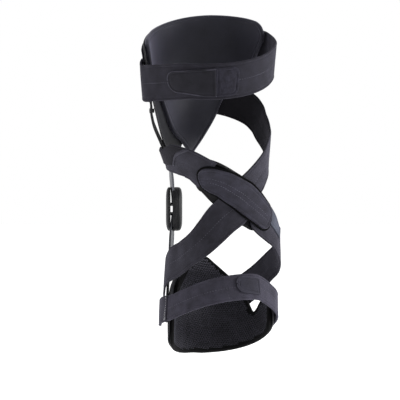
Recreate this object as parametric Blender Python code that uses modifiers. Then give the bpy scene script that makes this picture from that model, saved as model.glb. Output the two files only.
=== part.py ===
"""Knee brace with one hinge, for a worn-out knee joint, in the shape it has on a bent leg.

Metres, +Z up. The origin is the middle of the knee, between the hinge and the far side.
-X is the hinge side, +Y the front of the leg and -Y the hollow behind the knee.

Every soft piece lies on one leg form. A place on it is an angle round the leg, a height
along it and a lift off it: 0 degrees is +X, 90 the front, 180 the hinge side, 270 the back.
"""

import math

import bmesh
import bpy
import numpy as np
from mathutils import Vector

# Leg form: lengths along the leg's axis, widths across it and depths from back to front.
THIGH_REACH = 0.212
CALF_REACH = 0.165
THIGH_WIDTH = 0.130
THIGH_DEPTH = 0.150
KNEE_WIDTH = 0.100
KNEE_DEPTH = 0.108
CALF_WIDTH = 0.107
CALF_DEPTH = 0.116
THIGH_LEAN = 23.0
CALF_LEAN = 24.0
THIGH_SWAY = -0.013
CALF_SWAY = -0.0043
BEND_REACH = 0.055

# Walls of the layers, from the leg outwards, and the clearance between them.
CLEARANCE = 0.0003
LAYER_GAP = 0.0006
LINER_WALL = 0.0045
SHELL_WALL = 0.0020
STRAP_WALL = 0.0020
TAB_WALL = 0.0018
PAD_WALL = 0.0040
ARM_WALL = 0.0025

# Straps, tabs and pads.
THIGH_STRAP_WIDTH = 0.041
CALF_STRAP_WIDTH = 0.030
CROSS_STRAP_WIDTH = 0.041
THIGH_TAB_WIDTH = 0.026
CALF_TAB_WIDTH = 0.019
LOOP_WIDTH = 0.023
KEEPER_WIDTH = 0.033
POPLITEAL_PAD_WIDTH = 0.047
SIDE_TAB_WIDTH = 0.017

# Hinge.
ARM_WIDTH = 0.016
HINGE_HEIGHT = 0.051
HINGE_DEPTH = 0.032
INNER_PAD_WALL = 0.0092
OUTER_COVER_WALL = 0.0050
PIN_RADIUS = 0.0020
PIN_SPACING = 0.011
PIN_GAP = 0.0016
ARM_STANDOFF = 0.0034
BULGE = 0.0075
HINGE_LIFT = 0.0088
RIVET_RADIUS = 0.0030
RIVET_HEIGHT = 0.0008

# Lifts of the layers off the leg form.
SHELL_LIFT = LINER_WALL + LAYER_GAP
OVER_SHELL = SHELL_LIFT + SHELL_WALL + LAYER_GAP
OVER_ARM = OVER_SHELL + ARM_WALL + RIVET_HEIGHT + LAYER_GAP
OVER_ARM_STRAP = OVER_ARM + STRAP_WALL + LAYER_GAP
ON_LEG = 0.0010
OVER_STRAP = ON_LEG + STRAP_WALL + LAYER_GAP
OVER_PAD = PAD_WALL + 2 * LAYER_GAP
OVER_PAD_STRAP = OVER_PAD + STRAP_WALL + LAYER_GAP
OVER_CROSSING = OVER_PAD_STRAP + LAYER_GAP
OVER_SHELL_STRAP = OVER_SHELL + STRAP_WALL + LAYER_GAP

# How much of the upper cross strap's width goes through its loop at the arm.
LOOP_SHARE = LOOP_WIDTH / CROSS_STRAP_WIDTH

# Fineness of the curves: spots along a strap for each row of its table, the stretch that its
# direction is read over, how many heights the leg form is summed at and how far past its ends.
SPOTS_PER_ROW = 12
SIGHT = 0.002
FORM_STEPS = 240
FORM_MARGIN = 1.2
ROD_SIDES = 16
END_STEPS = 8
PLATE_EDGE_SHARE = 0.3
SEATING_ROUNDS = 6

# Colours as linear values, with the roughness and the metallic value.
FINISHES = {
    "liner": ((0.030, 0.030, 0.038), 0.85, 0.0),
    "mesh": ((0.018, 0.018, 0.022), 0.90, 0.0),
    "shell": ((0.022, 0.022, 0.024), 0.45, 0.0),
    "webbing": ((0.048, 0.047, 0.056), 0.90, 0.0),
    "tab": ((0.050, 0.049, 0.058), 0.80, 0.0),
    "pad": ((0.012, 0.012, 0.014), 0.95, 0.0),
    "cover": ((0.070, 0.070, 0.075), 0.50, 0.0),
    "metal": ((0.420, 0.430, 0.450), 0.32, 1.0),
}

# The leg form's sections: height as a share of its reach, above the knee or below it,
# and how far each has come from the knee's width, depth and sway to the thigh's or calf's.
FORM_ROWS = (
    # height, width, depth, sway
    (-1.00, 1.05, 0.86, 1.00),
    (-0.75, 1.00, 1.00, 0.90),
    (-0.40, 0.70, 0.70, 0.60),
    (-0.15, 0.15, 0.15, 0.15),
    (0.00, 0.00, 0.00, 0.00),
    (0.20, 0.06, 0.15, 0.12),
    (0.45, 0.62, 0.70, 0.60),
    (0.80, 1.12, 0.97, 1.12),
    (1.00, 1.40, 1.02, 1.22),
)

# Outlines of the liners: lower and upper edge, as shares of the reach, at angles round the leg.
THIGH_LINER_ROWS = (
    # angle, lower, upper
    (34, 0.89, 0.930),
    (37, 0.855, 0.955),
    (40, 0.820, 0.970),
    (46, 0.750, 0.982),
    (60, 0.665, 0.985),
    (75, 0.565, 0.985),
    (85, 0.490, 0.985),
    (90, 0.435, 0.985),
    (104, 0.342, 0.983),
    (123, 0.261, 0.978),
    (133, 0.235, 0.975),
    (140, 0.280, 0.973),
    (144, 0.320, 0.972),
    (153, 0.385, 0.970),
    (158, 0.475, 0.968),
    (162, 0.580, 0.965),
    (168, 0.660, 0.962),
    (177, 0.710, 0.955),
    (183, 0.760, 0.940),
)
THIGH_SHELL_ROWS = (
    # angle, lower, upper
    (41, 0.840, 0.930),
    (47, 0.765, 0.962),
    (61, 0.685, 0.968),
    (76, 0.585, 0.968),
    (86, 0.510, 0.968),
    (91, 0.455, 0.968),
    (105, 0.360, 0.966),
    (123, 0.285, 0.962),
    (138, 0.300, 0.958),
    (147, 0.276, 0.955),
    (155, 0.268, 0.952),
    (163, 0.285, 0.948),
    (169, 0.340, 0.944),
    (173, 0.430, 0.940),
    (177, 0.600, 0.936),
    (186, 0.660, 0.920),
)
CALF_LINER_ROWS = (
    # angle, lower, upper
    (10, -0.800, -0.650),
    (15, -0.850, -0.610),
    (24, -0.872, -0.590),
    (34, -0.880, -0.602),
    (41, -0.886, -0.640),
    (47, -0.890, -0.662),
    (51, -0.893, -0.630),
    (57, -0.897, -0.550),
    (79, -0.912, -0.368),
    (102, -0.930, -0.262),
    (112, -0.940, -0.235),
    (124, -0.950, -0.240),
    (138, -0.972, -0.310),
    (152, -0.990, -0.430),
    (162, -0.996, -0.540),
    (168, -0.995, -0.660),
    (178, -0.985, -0.700),
    (185, -0.920, -0.740),
)
CALF_SHELL_ROWS = (
    # angle, lower, upper
    (6, -0.770, -0.670),
    (12, -0.820, -0.630),
    (22, -0.848, -0.612),
    (33, -0.860, -0.624),
    (41, -0.866, -0.665),
    (47, -0.870, -0.685),
    (52, -0.873, -0.655),
    (58, -0.877, -0.575),
    (79, -0.892, -0.400),
    (102, -0.910, -0.295),
    (112, -0.920, -0.270),
    (124, -0.930, -0.275),
    (138, -0.950, -0.340),
    (152, -0.965, -0.455),
    (161, -0.970, -0.560),
    (167, -0.968, -0.670),
    (178, -0.960, -0.690),
    (188, -0.900, -0.730),
)

# Centre lines of the straps, tabs, pad and arms: angle round the leg, height as a share of
# the reach, lift, and the share of the piece's named width that it has there.
THIGH_STRAP_ROWS = (
    # angle, height, lift, width
    (178, 0.738, OVER_ARM, 1),
    (190, 0.743, OVER_ARM, 1),
    (206, 0.775, 0.6 * OVER_ARM, 1),
    (227, 0.811, ON_LEG, 1),
    (252, 0.842, ON_LEG, 1),
    (285, 0.848, ON_LEG, 1),
    (315, 0.850, ON_LEG, 1),
    (345, 0.856, ON_LEG, 1),
    (366, 0.850, ON_LEG, 1),
    (384, 0.840, 0.5 * OVER_SHELL, 1),
    (400, 0.834, OVER_SHELL, 1),
    (450, 0.832, OVER_SHELL, 1),
    (500, 0.832, OVER_SHELL, 1),
    (524, 0.830, OVER_SHELL, 1),
    (546, 0.828, OVER_SHELL, 1),
)
CALF_STRAP_ROWS = (
    # angle, height, lift, width
    (180, -0.765, OVER_ARM_STRAP, 1),
    (192, -0.780, OVER_ARM_STRAP, 1),
    (207, -0.793, 0.5 * OVER_ARM_STRAP, 1),
    (224, -0.785, ON_LEG, 1),
    (240, -0.762, ON_LEG, 1),
    (259, -0.742, ON_LEG, 1),
    (278, -0.720, ON_LEG, 1),
    (298, -0.694, ON_LEG, 1),
    (318, -0.672, ON_LEG, 1),
    (334, -0.682, 0.3 * OVER_SHELL, 1),
    (350, -0.700, 0.9 * OVER_SHELL, 1),
    (363, -0.708, 1.15 * OVER_SHELL, 1),
    (378, -0.710, 1.15 * OVER_SHELL, 1),
    (396, -0.714, OVER_SHELL_STRAP, 1),
    (450, -0.740, OVER_SHELL_STRAP, 1),
    (490, -0.760, OVER_SHELL_STRAP, 1),
    (520, -0.775, OVER_SHELL_STRAP, 1),
)
CROSS_BACK_ROWS = (
    # angle, height, lift, width
    (174, 0.290, OVER_ARM, LOOP_SHARE),
    (188, 0.300, OVER_ARM, LOOP_SHARE),
    (200, 0.318, 0.9 * OVER_ARM, 0.62),
    (214, 0.350, 0.7 * OVER_ARM, 0.85),
    (226, 0.368, 0.6 * OVER_ARM, 1),
    (238, 0.358, OVER_PAD, 1.04),
    (250, 0.322, OVER_PAD, 1.06),
    (258, 0.294, OVER_PAD, 1.06),
)
CROSS_LOWER_ROWS = (
    # angle, height, lift, width
    (172, -0.530, OVER_ARM, 1),
    (186, -0.490, OVER_ARM, 1),
    (199, -0.458, 0.8 * OVER_ARM, 1),
    (215, -0.448, OVER_PAD, 1),
    (232, -0.418, OVER_PAD, 1),
    (241, -0.388, OVER_PAD, 1),
    (256, -0.300, OVER_PAD, 1),
    (272, -0.115, OVER_PAD, 1),
    (290, 0.150, OVER_PAD, 1),
    (308, 0.253, OVER_PAD, 1),
    (325, 0.307, 0.7 * OVER_PAD, 1),
    (346, 0.345, ON_LEG, 1),
    (368, 0.362, ON_LEG, 1),
    (390, 0.402, ON_LEG, 1),
    (404, 0.436, 0.6 * OVER_SHELL, 1),
    (418, 0.466, OVER_SHELL, 1),
    (434, 0.492, OVER_SHELL, 1),
    (460, 0.525, OVER_SHELL, 1),
    (486, 0.560, OVER_SHELL, 1),
)
KEEPER_ROWS = (
    # angle, height, lift, width
    (245, 0.282, OVER_CROSSING, 1),
    (257, 0.290, OVER_CROSSING, 1),
    (269, 0.272, OVER_CROSSING, 1),
    (289, 0.174, OVER_CROSSING, 1),
    (300, 0.060, OVER_CROSSING, 1),
    (314, -0.062, OVER_CROSSING, 1),
    (328, -0.145, OVER_CROSSING + 0.2 * BULGE, 1),
)
POPLITEAL_PAD_ROWS = (
    # angle, height, lift, width
    (240, 0.312, CLEARANCE, 1),
    (252, 0.298, CLEARANCE, 1),
    (273, 0.215, CLEARANCE, 1),
    (301, 0.005, CLEARANCE, 1),
    (325, -0.130, CLEARANCE, 1),
)
SIDE_TAB_ROWS = (
    # angle, height, lift, width
    (336, -0.085, OVER_PAD_STRAP + 0.45 * BULGE, 1),
    (345, -0.155, OVER_PAD_STRAP + 0.8 * BULGE, 1),
    (354, -0.230, OVER_PAD_STRAP + BULGE, 1),
)
CROSS_FRONT_ROWS = (
    # angle, height, lift, width
    (306, -0.035, OVER_PAD, 0.8),
    (313, -0.094, OVER_PAD, 0.95),
    (322, -0.150, OVER_PAD + 0.1 * BULGE, 1),
    (337, -0.217, OVER_PAD + 0.5 * BULGE, 1),
    (346, -0.265, OVER_PAD + 0.9 * BULGE, 1),
    (357, -0.290, OVER_PAD + BULGE, 1),
    (372, -0.318, OVER_PAD + 0.9 * BULGE, 1),
    (388, -0.345, OVER_PAD + 0.5 * BULGE, 0.98),
    (402, -0.385, OVER_SHELL, 0.96),
    (422, -0.450, OVER_SHELL, 0.96),
    (445, -0.530, OVER_SHELL, 1),
    (470, -0.640, OVER_SHELL, 1),
)
THIGH_TAB_ROWS = (
    # angle, height, lift, width
    (228, 0.817, OVER_STRAP, 1),
    (249, 0.837, OVER_STRAP, 1),
    (273, 0.846, OVER_STRAP, 1),
)
CALF_TAB_ROWS = (
    # angle, height, lift, width
    (286, -0.689, OVER_STRAP, 1),
    (300, -0.683, OVER_STRAP, 1),
    (316, -0.672, OVER_STRAP, 1),
)
UPPER_ARM_ROWS = (
    # angle, height, lift, width
    (180, 0.022, HINGE_LIFT, 1),
    (180, 0.100, HINGE_LIFT, 1),
    (182, 0.300, OVER_SHELL, 1),
    (184, 0.400, OVER_SHELL + 0.25 * ARM_STANDOFF, 1),
    (184, 0.500, OVER_SHELL + ARM_STANDOFF, 1),
    (184, 0.550, OVER_SHELL + 0.9 * ARM_STANDOFF, 1),
    (184, 0.610, OVER_SHELL + 0.2 * ARM_STANDOFF, 1),
    (183, 0.670, OVER_SHELL, 1),
)
LOWER_ARM_ROWS = (
    # angle, height, lift, width
    (180, -0.028, HINGE_LIFT, 1),
    (180, -0.120, HINGE_LIFT, 1),
    (180, -0.400, OVER_SHELL, 1),
    (178, -0.840, OVER_SHELL, 1),
)
RIVET_SHARES = (0.85, 0.94)


def clear_scene():
    for obj in list(bpy.data.objects):
        bpy.data.objects.remove(obj, do_unlink=True)


def curve_through(rows, column):
    """A smooth curve without overshoot through one column of a table, over its first column."""
    xs = np.array([row[0] for row in rows], float)
    ys = np.array([row[column] for row in rows], float)
    steps = np.diff(xs)
    slopes = np.diff(ys) / steps
    tangents = np.zeros(len(xs))
    tangents[0] = slopes[0]
    tangents[-1] = slopes[-1]
    for i in range(1, len(xs) - 1):
        if slopes[i - 1] * slopes[i] > 0:
            before = 2 * steps[i] + steps[i - 1]
            after = steps[i] + 2 * steps[i - 1]
            tangents[i] = (before + after) / (before / slopes[i - 1] + after / slopes[i])

    def value(x):
        i = int(np.clip(np.searchsorted(xs, x) - 1, 0, len(steps) - 1))
        t = (min(max(x, xs[0]), xs[-1]) - xs[i]) / steps[i]
        rise = ys[i] * (1 + 2 * t) + tangents[i] * steps[i] * t
        fall = ys[i + 1] * (3 - 2 * t) - tangents[i + 1] * steps[i] * (1 - t)
        return rise * (1 - t) ** 2 + fall * t**2

    return value


class LegForm:
    """The bent leg: a centre line with an elliptical section at each height along it."""

    def __init__(self):
        self.width_share = curve_through(FORM_ROWS, 1)
        self.depth_share = curve_through(FORM_ROWS, 2)
        self.sway_share = curve_through(FORM_ROWS, 3)
        lowest = -FORM_MARGIN * CALF_REACH
        self.heights = np.linspace(lowest, FORM_MARGIN * THIGH_REACH, FORM_STEPS)
        leans = np.array([self.lean(h) for h in self.heights])
        step = self.heights[1] - self.heights[0]
        self.backs = self.sum_along(-np.sin(leans) * step)
        self.ups = self.sum_along(np.cos(leans) * step)

    def sum_along(self, pieces):
        """The sum of the pieces up to each height, zero at the knee."""
        sums = np.concatenate([[0], np.cumsum((pieces[1:] + pieces[:-1]) / 2)])
        return sums - np.interp(0, self.heights, sums)

    def lean(self, height):
        t = min(max(height / BEND_REACH, -1), 1)
        ease = 0.5 + 0.75 * t - 0.25 * t**3
        return math.radians(ease * (THIGH_LEAN + CALF_LEAN) - CALF_LEAN)

    def share_of(self, height):
        return height / (THIGH_REACH if height > 0 else CALF_REACH)

    def section(self, height):
        """Centre, front direction, upward direction and the two half sizes at a height."""
        share = self.share_of(height)
        width, depth, sway = (
            (THIGH_WIDTH, THIGH_DEPTH, THIGH_SWAY)
            if height > 0
            else (CALF_WIDTH, CALF_DEPTH, CALF_SWAY)
        )
        half_width = (KNEE_WIDTH + (width - KNEE_WIDTH) * self.width_share(share)) / 2
        half_depth = (KNEE_DEPTH + (depth - KNEE_DEPTH) * self.depth_share(share)) / 2
        centre = Vector(
            (
                sway * self.sway_share(share),
                np.interp(height, self.heights, self.backs),
                np.interp(height, self.heights, self.ups),
            )
        )
        lean = self.lean(height)
        front = Vector((0, math.cos(lean), math.sin(lean)))
        up = Vector((0, -math.sin(lean), math.cos(lean)))
        return centre, front, up, half_width, half_depth

    def point(self, angle, height, lift):
        centre, front, _, half_width, half_depth = self.section(height)
        turn = math.radians(angle)
        across = Vector((1, 0, 0)) * ((half_width + lift) * math.cos(turn))
        return centre + across + front * ((half_depth + lift) * math.sin(turn))

    def seated(self, place, height, lift):
        """The point at this lift off the form that is nearest to a place beside it."""
        for _ in range(SEATING_ROUNDS):
            centre, front, up, half_width, half_depth = self.section(height)
            height += (place - centre).dot(up)
        centre, front, up, half_width, half_depth = self.section(height)
        beside = place - centre
        angle = math.atan2(beside.dot(front) / half_depth, beside.x / half_width)
        return self.point(math.degrees(angle), height, lift)


FORM = LegForm()


class StrapPath:
    """The centre line of a strap on the leg form, measured along its length."""

    def __init__(self, rows):
        numbered = [(i, *row) for i, row in enumerate(rows)]
        angle, share, lift, width = (curve_through(numbered, k) for k in (1, 2, 3, 4))
        self.spots = []
        for t in np.linspace(0, len(rows) - 1, SPOTS_PER_ROW * len(rows)):
            reach = THIGH_REACH if share(t) > 0 else CALF_REACH
            self.spots.append((angle(t), share(t) * reach, lift(t), width(t)))
        self.points = [FORM.point(*spot[:3]) for spot in self.spots]
        runs = [(b - a).length for a, b in zip(self.points, self.points[1:])]
        self.along = np.concatenate([[0], np.cumsum(runs)])
        self.length = self.along[-1]

    def at(self, distance):
        """Point, direction across the strap, and its row of the table at a distance along it."""
        spot = [np.interp(distance, self.along, column) for column in zip(*self.spots)]
        near = [
            Vector([np.interp(d, self.along, column) for column in zip(*self.points)])
            for d in (distance - SIGHT, distance, distance + SIGHT)
        ]
        forward = (near[2] - near[0]).normalized()
        outward = FORM.point(spot[0], spot[1], spot[2] + SIGHT) - near[1]
        return near[1], outward.cross(forward).normalized(), spot


def material_of(name):
    found = bpy.data.materials.get(name)
    if found:
        return found
    colour, roughness, metallic = FINISHES[name]
    made = bpy.data.materials.new(name)
    made.use_nodes = True
    shader = made.node_tree.nodes["Principled BSDF"]
    shader.inputs["Base Color"].default_value = (*colour, 1)
    shader.inputs["Roughness"].default_value = roughness
    shader.inputs["Metallic"].default_value = metallic
    return made


def collection_of(name):
    found = bpy.data.collections.get(name)
    if not found:
        found = bpy.data.collections.new(name)
        bpy.context.scene.collection.children.link(found)
    return found


def add_object(name, mesh, finish, group="knee_brace"):
    obj = bpy.data.objects.new(name, mesh)
    obj.data.materials.append(material_of(finish))
    collection_of(group).objects.link(obj)
    return obj


def add_wall(name, place, columns, rows, wall, finish):
    """A sheet on the leg form, made from a grid by place(u, v), with its wall outwards."""
    bm = bmesh.new()
    bmesh.ops.create_grid(bm, x_segments=columns, y_segments=rows, size=0.5)
    for vert in bm.verts:
        vert.co = place(vert.co.x + 0.5, vert.co.y + 0.5)
    bm.normal_update()
    face = bm.faces[:][len(bm.faces) // 2]
    spot = face.calc_center_median()
    if face.normal.dot(spot - FORM.section(spot.z)[0]) < 0:
        bmesh.ops.reverse_faces(bm, faces=bm.faces[:])
    mesh = bpy.data.meshes.new(name)
    bm.to_mesh(mesh)
    bm.free()
    mesh.shade_smooth()
    obj = add_object(name, mesh, finish)
    solid = obj.modifiers.new("wall", "SOLIDIFY")
    solid.thickness = wall
    solid.offset = 1
    return obj


def add_strap(name, rows, width, wall, finish, segments, ends=(0, 0), across=3):
    """A strap along a table of places; ends: their rounding, as shares of half the width."""
    path = StrapPath(rows)

    def half_width(distance):
        half = width / 2
        for share, gone in zip(ends, (distance, path.length - distance)):
            radius = share * width / 2
            if gone < radius:
                short = radius - math.sqrt(max(radius**2 - (radius - gone) ** 2, 0))
                half -= min(short, 0.8 * half)
        return half

    def place(u, v):
        gathered = math.sin(2 * math.pi * u) / (4 * math.pi) if any(ends) else 0
        distance = path.length * (u - gathered)
        centre, aside, (_, height, lift, share) = path.at(distance)
        reach = (2 * v - 1) * share * half_width(distance)
        return FORM.seated(centre + aside * reach, height, lift)

    return add_wall(name, place, segments, across, wall, finish)


def add_shell(name, rows, lift, wall, finish, columns, steps):
    """A shell between its lower and its upper edge round the leg."""
    lower = curve_through(rows, 1)
    upper = curve_through(rows, 2)
    reach = THIGH_REACH if rows[0][1] > 0 else CALF_REACH
    angles = np.interp(
        np.linspace(0, 1, columns + 1),
        np.linspace(0, 1, len(rows)),
        [row[0] for row in rows],
    )

    def place(u, v):
        angle = angles[round(u * columns)]
        share = lower(angle) + (upper(angle) - lower(angle)) * v
        return FORM.point(angle, share * reach, lift)

    return add_wall(name, place, columns, steps, wall, finish)


def add_stadium(name, height, depth, wall, outer_x, finish):
    """A flat plate with round ends, standing across X, its outer face at outer_x."""
    radius = depth / 2
    curve = bpy.data.curves.new(name, "CURVE")
    curve.dimensions = "2D"
    curve.fill_mode = "BOTH"
    edge = PLATE_EDGE_SHARE * wall
    curve.extrude = wall / 2 - edge
    curve.bevel_depth = edge
    curve.bevel_resolution = 1
    curve.offset = -edge
    spline = curve.splines.new("POLY")
    corners = []
    for side in (1, -1):
        for turn in np.linspace(0, math.pi, END_STEPS + 1):
            corners.append(
                (
                    side * radius * math.cos(turn),
                    side * (height / 2 - radius + radius * math.sin(turn)),
                )
            )
    spline.points.add(len(corners) - 1)
    for point, corner in zip(spline.points, corners):
        point.co = (*corner, 0, 1)
    spline.use_cyclic_u = True
    guide = bpy.data.objects.new(name + "_guide", curve)
    collection_of("knee_brace").objects.link(guide)
    bpy.context.view_layer.update()
    graph = bpy.context.evaluated_depsgraph_get()
    mesh = bpy.data.meshes.new_from_object(guide.evaluated_get(graph))
    bpy.data.objects.remove(guide, do_unlink=True)
    bm = bmesh.new()
    bm.from_mesh(mesh)
    bmesh.ops.remove_doubles(bm, verts=bm.verts[:], dist=0.00001)
    bm.to_mesh(mesh)
    bm.free()
    mesh.name = name
    obj = add_object(name, mesh, finish)
    obj.rotation_euler = (math.radians(90), 0, math.radians(90))
    obj.location = (outer_x + wall / 2, 0, 0)
    return obj


def add_rod(name, radius, start, end, finish, group="knee_brace"):
    """A round rod from one point to another."""
    axis = end - start
    bm = bmesh.new()
    bmesh.ops.create_cone(
        bm,
        cap_ends=True,
        segments=ROD_SIDES,
        radius1=radius,
        radius2=radius,
        depth=axis.length,
    )
    mesh = bpy.data.meshes.new(name)
    bm.to_mesh(mesh)
    bm.free()
    mesh.shade_smooth()
    mesh.set_sharp_from_angle(angle=math.radians(40))
    obj = add_object(name, mesh, finish, group)
    obj.rotation_mode = "QUATERNION"
    obj.rotation_quaternion = Vector((0, 0, 1)).rotation_difference(axis)
    obj.location = (start + end) / 2
    return obj


def add_shells():
    add_shell("thigh_liner", THIGH_LINER_ROWS, 0, LINER_WALL, "liner", 34, 11)
    add_shell("thigh_shell", THIGH_SHELL_ROWS, SHELL_LIFT, SHELL_WALL, "shell", 28, 11)
    add_shell("calf_liner", CALF_LINER_ROWS, 0, LINER_WALL, "mesh", 30, 9)
    add_shell("calf_shell", CALF_SHELL_ROWS, SHELL_LIFT, SHELL_WALL, "shell", 30, 9)


def add_hinge():
    """Two arms geared to each other on two pins, between a condyle pad and a slim cover."""
    arm_face = KNEE_WIDTH / 2 + HINGE_LIFT
    cover_face = arm_face + ARM_WALL + PIN_GAP
    upper = add_strap("upper_arm", UPPER_ARM_ROWS, ARM_WIDTH, ARM_WALL, "metal", 22, (0.9, 0.9), 2)
    lower = add_strap("lower_arm", LOWER_ARM_ROWS, ARM_WIDTH, ARM_WALL, "metal", 20, (0.9, 0.9), 2)
    add_stadium(
        "hinge_inner_pad",
        HINGE_HEIGHT,
        HINGE_DEPTH,
        INNER_PAD_WALL,
        -arm_face + LAYER_GAP,
        "cover",
    )
    add_stadium(
        "hinge_outer_cover",
        HINGE_HEIGHT,
        HINGE_DEPTH,
        OUTER_COVER_WALL,
        -cover_face - OUTER_COVER_WALL,
        "cover",
    )
    for name, arm, rows, side in (
        ("upper", upper, UPPER_ARM_ROWS, 1),
        ("lower", lower, LOWER_ARM_ROWS, -1),
    ):
        height = side * PIN_SPACING / 2
        inner = Vector((-arm_face + CLEARANCE, 0, height))
        outer = Vector((-cover_face + CLEARANCE, 0, height))
        add_pin(f"hinge_pin_{name}", PIN_RADIUS, inner, outer, arm)
        add_rivets(name, arm, rows)


def add_pin(name, radius, inner, outer, arm):
    """A pin through an arm, in a hole with clearance all round."""
    add_rod(name, radius, inner, outer, "metal")
    beyond = (outer - inner).normalized() * ARM_WALL
    cutter = add_rod(
        name + "_hole", radius + CLEARANCE, inner - beyond, outer + beyond, "metal", "cutters"
    )
    cutter.hide_render = True
    cutter.display_type = "WIRE"
    hole = arm.modifiers.new(name + "_hole", "BOOLEAN")
    hole.object = cutter
    hole.solver = "EXACT"


def add_rivets(name, arm, rows):
    """Two rivets hold each arm to its shell."""
    path = StrapPath(rows)
    for number, share in enumerate(RIVET_SHARES, 1):
        angle, height, lift, _ = path.at(share * path.length)[2]
        base = FORM.point(angle, height, OVER_SHELL)
        top = FORM.point(angle, height, lift + ARM_WALL + RIVET_HEIGHT)
        add_pin(f"{name}_arm_rivet_{number}", RIVET_RADIUS, base, top, arm)


def add_straps():
    webbing = (STRAP_WALL, "webbing")
    add_strap("thigh_strap", THIGH_STRAP_ROWS, THIGH_STRAP_WIDTH, *webbing, 52)
    add_strap("calf_strap", CALF_STRAP_ROWS, CALF_STRAP_WIDTH, *webbing, 44)
    add_strap("cross_strap_back", CROSS_BACK_ROWS, CROSS_STRAP_WIDTH, *webbing, 20)
    add_strap("cross_strap_front", CROSS_FRONT_ROWS, CROSS_STRAP_WIDTH, *webbing, 32, (0.5, 0))
    add_strap("cross_strap_lower", CROSS_LOWER_ROWS, CROSS_STRAP_WIDTH, *webbing, 52)
    add_strap("cross_keeper", KEEPER_ROWS, KEEPER_WIDTH, STRAP_WALL, "tab", 24, (0.95, 0.7), 4)


def add_tabs_and_pad():
    add_strap("thigh_tab", THIGH_TAB_ROWS, THIGH_TAB_WIDTH, TAB_WALL, "tab", 14, (0.9, 0))
    add_strap("calf_tab", CALF_TAB_ROWS, CALF_TAB_WIDTH, TAB_WALL, "tab", 12, (0.9, 0))
    add_strap("side_tab", SIDE_TAB_ROWS, SIDE_TAB_WIDTH, TAB_WALL, "tab", 8)
    pad = (POPLITEAL_PAD_ROWS, POPLITEAL_PAD_WIDTH, PAD_WALL, "pad")
    add_strap("popliteal_pad", *pad, 20, (0.3, 0.7), 4)


clear_scene()
add_shells()
add_hinge()
add_straps()
add_tabs_and_pad()
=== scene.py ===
"""Looks for a knee brace with one side hinge, seen from the hollow behind the knee.

Metres, +Z up. -X is the hinge side, +Y the front of the leg and -Y the back.
"""

import math

import bmesh
import bpy
import numpy as np
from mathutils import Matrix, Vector, kdtree


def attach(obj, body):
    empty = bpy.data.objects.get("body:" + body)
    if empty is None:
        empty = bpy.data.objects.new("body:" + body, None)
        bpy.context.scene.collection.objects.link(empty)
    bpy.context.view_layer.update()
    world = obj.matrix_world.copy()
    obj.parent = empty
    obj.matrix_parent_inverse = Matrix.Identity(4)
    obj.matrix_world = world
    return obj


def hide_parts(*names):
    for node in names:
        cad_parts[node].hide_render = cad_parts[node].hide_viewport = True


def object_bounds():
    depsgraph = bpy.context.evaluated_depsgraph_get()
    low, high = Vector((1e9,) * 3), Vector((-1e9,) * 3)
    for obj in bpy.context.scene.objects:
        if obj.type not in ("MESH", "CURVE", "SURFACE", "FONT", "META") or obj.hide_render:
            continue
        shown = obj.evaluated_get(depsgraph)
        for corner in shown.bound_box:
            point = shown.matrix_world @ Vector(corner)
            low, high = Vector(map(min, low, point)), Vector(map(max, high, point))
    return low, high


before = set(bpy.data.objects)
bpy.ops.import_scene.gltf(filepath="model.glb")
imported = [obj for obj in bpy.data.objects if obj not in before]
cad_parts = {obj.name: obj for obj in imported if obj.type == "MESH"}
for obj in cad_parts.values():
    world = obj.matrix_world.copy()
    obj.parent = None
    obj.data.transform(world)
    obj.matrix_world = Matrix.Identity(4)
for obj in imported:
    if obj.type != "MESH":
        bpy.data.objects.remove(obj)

cad_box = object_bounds()

# Studio: white paper all round, as for a catalogue picture, with the camera level behind the
# knee. The paper is a little dimmer on the camera's side, so the two flanks of the brace shine.
CAMERA_PLACE = (-0.0284, -1.8, 0.0104)
HALF_VIEW = 7.35  # degrees
BRACE_MIDDLE = (0, -0.03, 0.03)
FLOOR_DROP = 0.045
FLOOR_HALF = 12
PAPER_BEHIND = 1.0
PAPER_IN_FRONT = 0.18
SOFTBOXES = (
    # place, watts, size
    ((1.9, -0.22, 0.30), 36, 0.7),
    ((-1.9, -0.6, 0.25), 11, 0.7),
    ((0.7, -1.5, -0.05), 7, 0.7),
    ((0.1, -0.4, 1.9), 3, 1.0),
)


def linear(code):
    """An sRGB hex colour as linear red, green, blue and alpha."""
    shares = [int(code[i : i + 2], 16) / 255 for i in (1, 3, 5)]
    return (*[s / 12.92 if s < 0.04045 else ((s + 0.055) / 1.055) ** 2.4 for s in shares], 1)


def add_node(tree, kind, sockets=None, **settings):
    """Adds a node. Sockets are set by name or number to a value, or linked to an output."""
    node = tree.nodes.new(kind)
    for key, value in settings.items():
        setattr(node, key, value)
    for key, value in (sockets or {}).items():
        if isinstance(value, bpy.types.NodeSocket):
            tree.links.new(value, node.inputs[key])
        else:
            node.inputs[key].default_value = value
    return node


def new_material(name, sockets):
    """A material with one shader, its plain values set on its own sockets."""
    made = bpy.data.materials.new(name)
    made.use_nodes = True
    shader = made.node_tree.nodes["Principled BSDF"]
    for key, value in sockets.items():
        shader.inputs[key].default_value = value
    return made, made.node_tree, shader


def link_object(name, mesh):
    """An object in the scene, at the origin, with its place in its mesh."""
    made = bpy.data.objects.new(name, mesh)
    bpy.context.scene.collection.objects.link(made)
    return made


camera = bpy.data.cameras.new("camera")
camera.sensor_width = 36
camera.lens = camera.sensor_width / 2 / math.tan(math.radians(HALF_VIEW))
camera.clip_end = 50
camera_object = link_object("camera", camera)
camera_object.location = CAMERA_PLACE
camera_object.rotation_euler = (math.radians(90), 0, 0)
bpy.context.scene.camera = camera_object
bpy.context.scene.view_settings.view_transform = "Standard"

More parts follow.
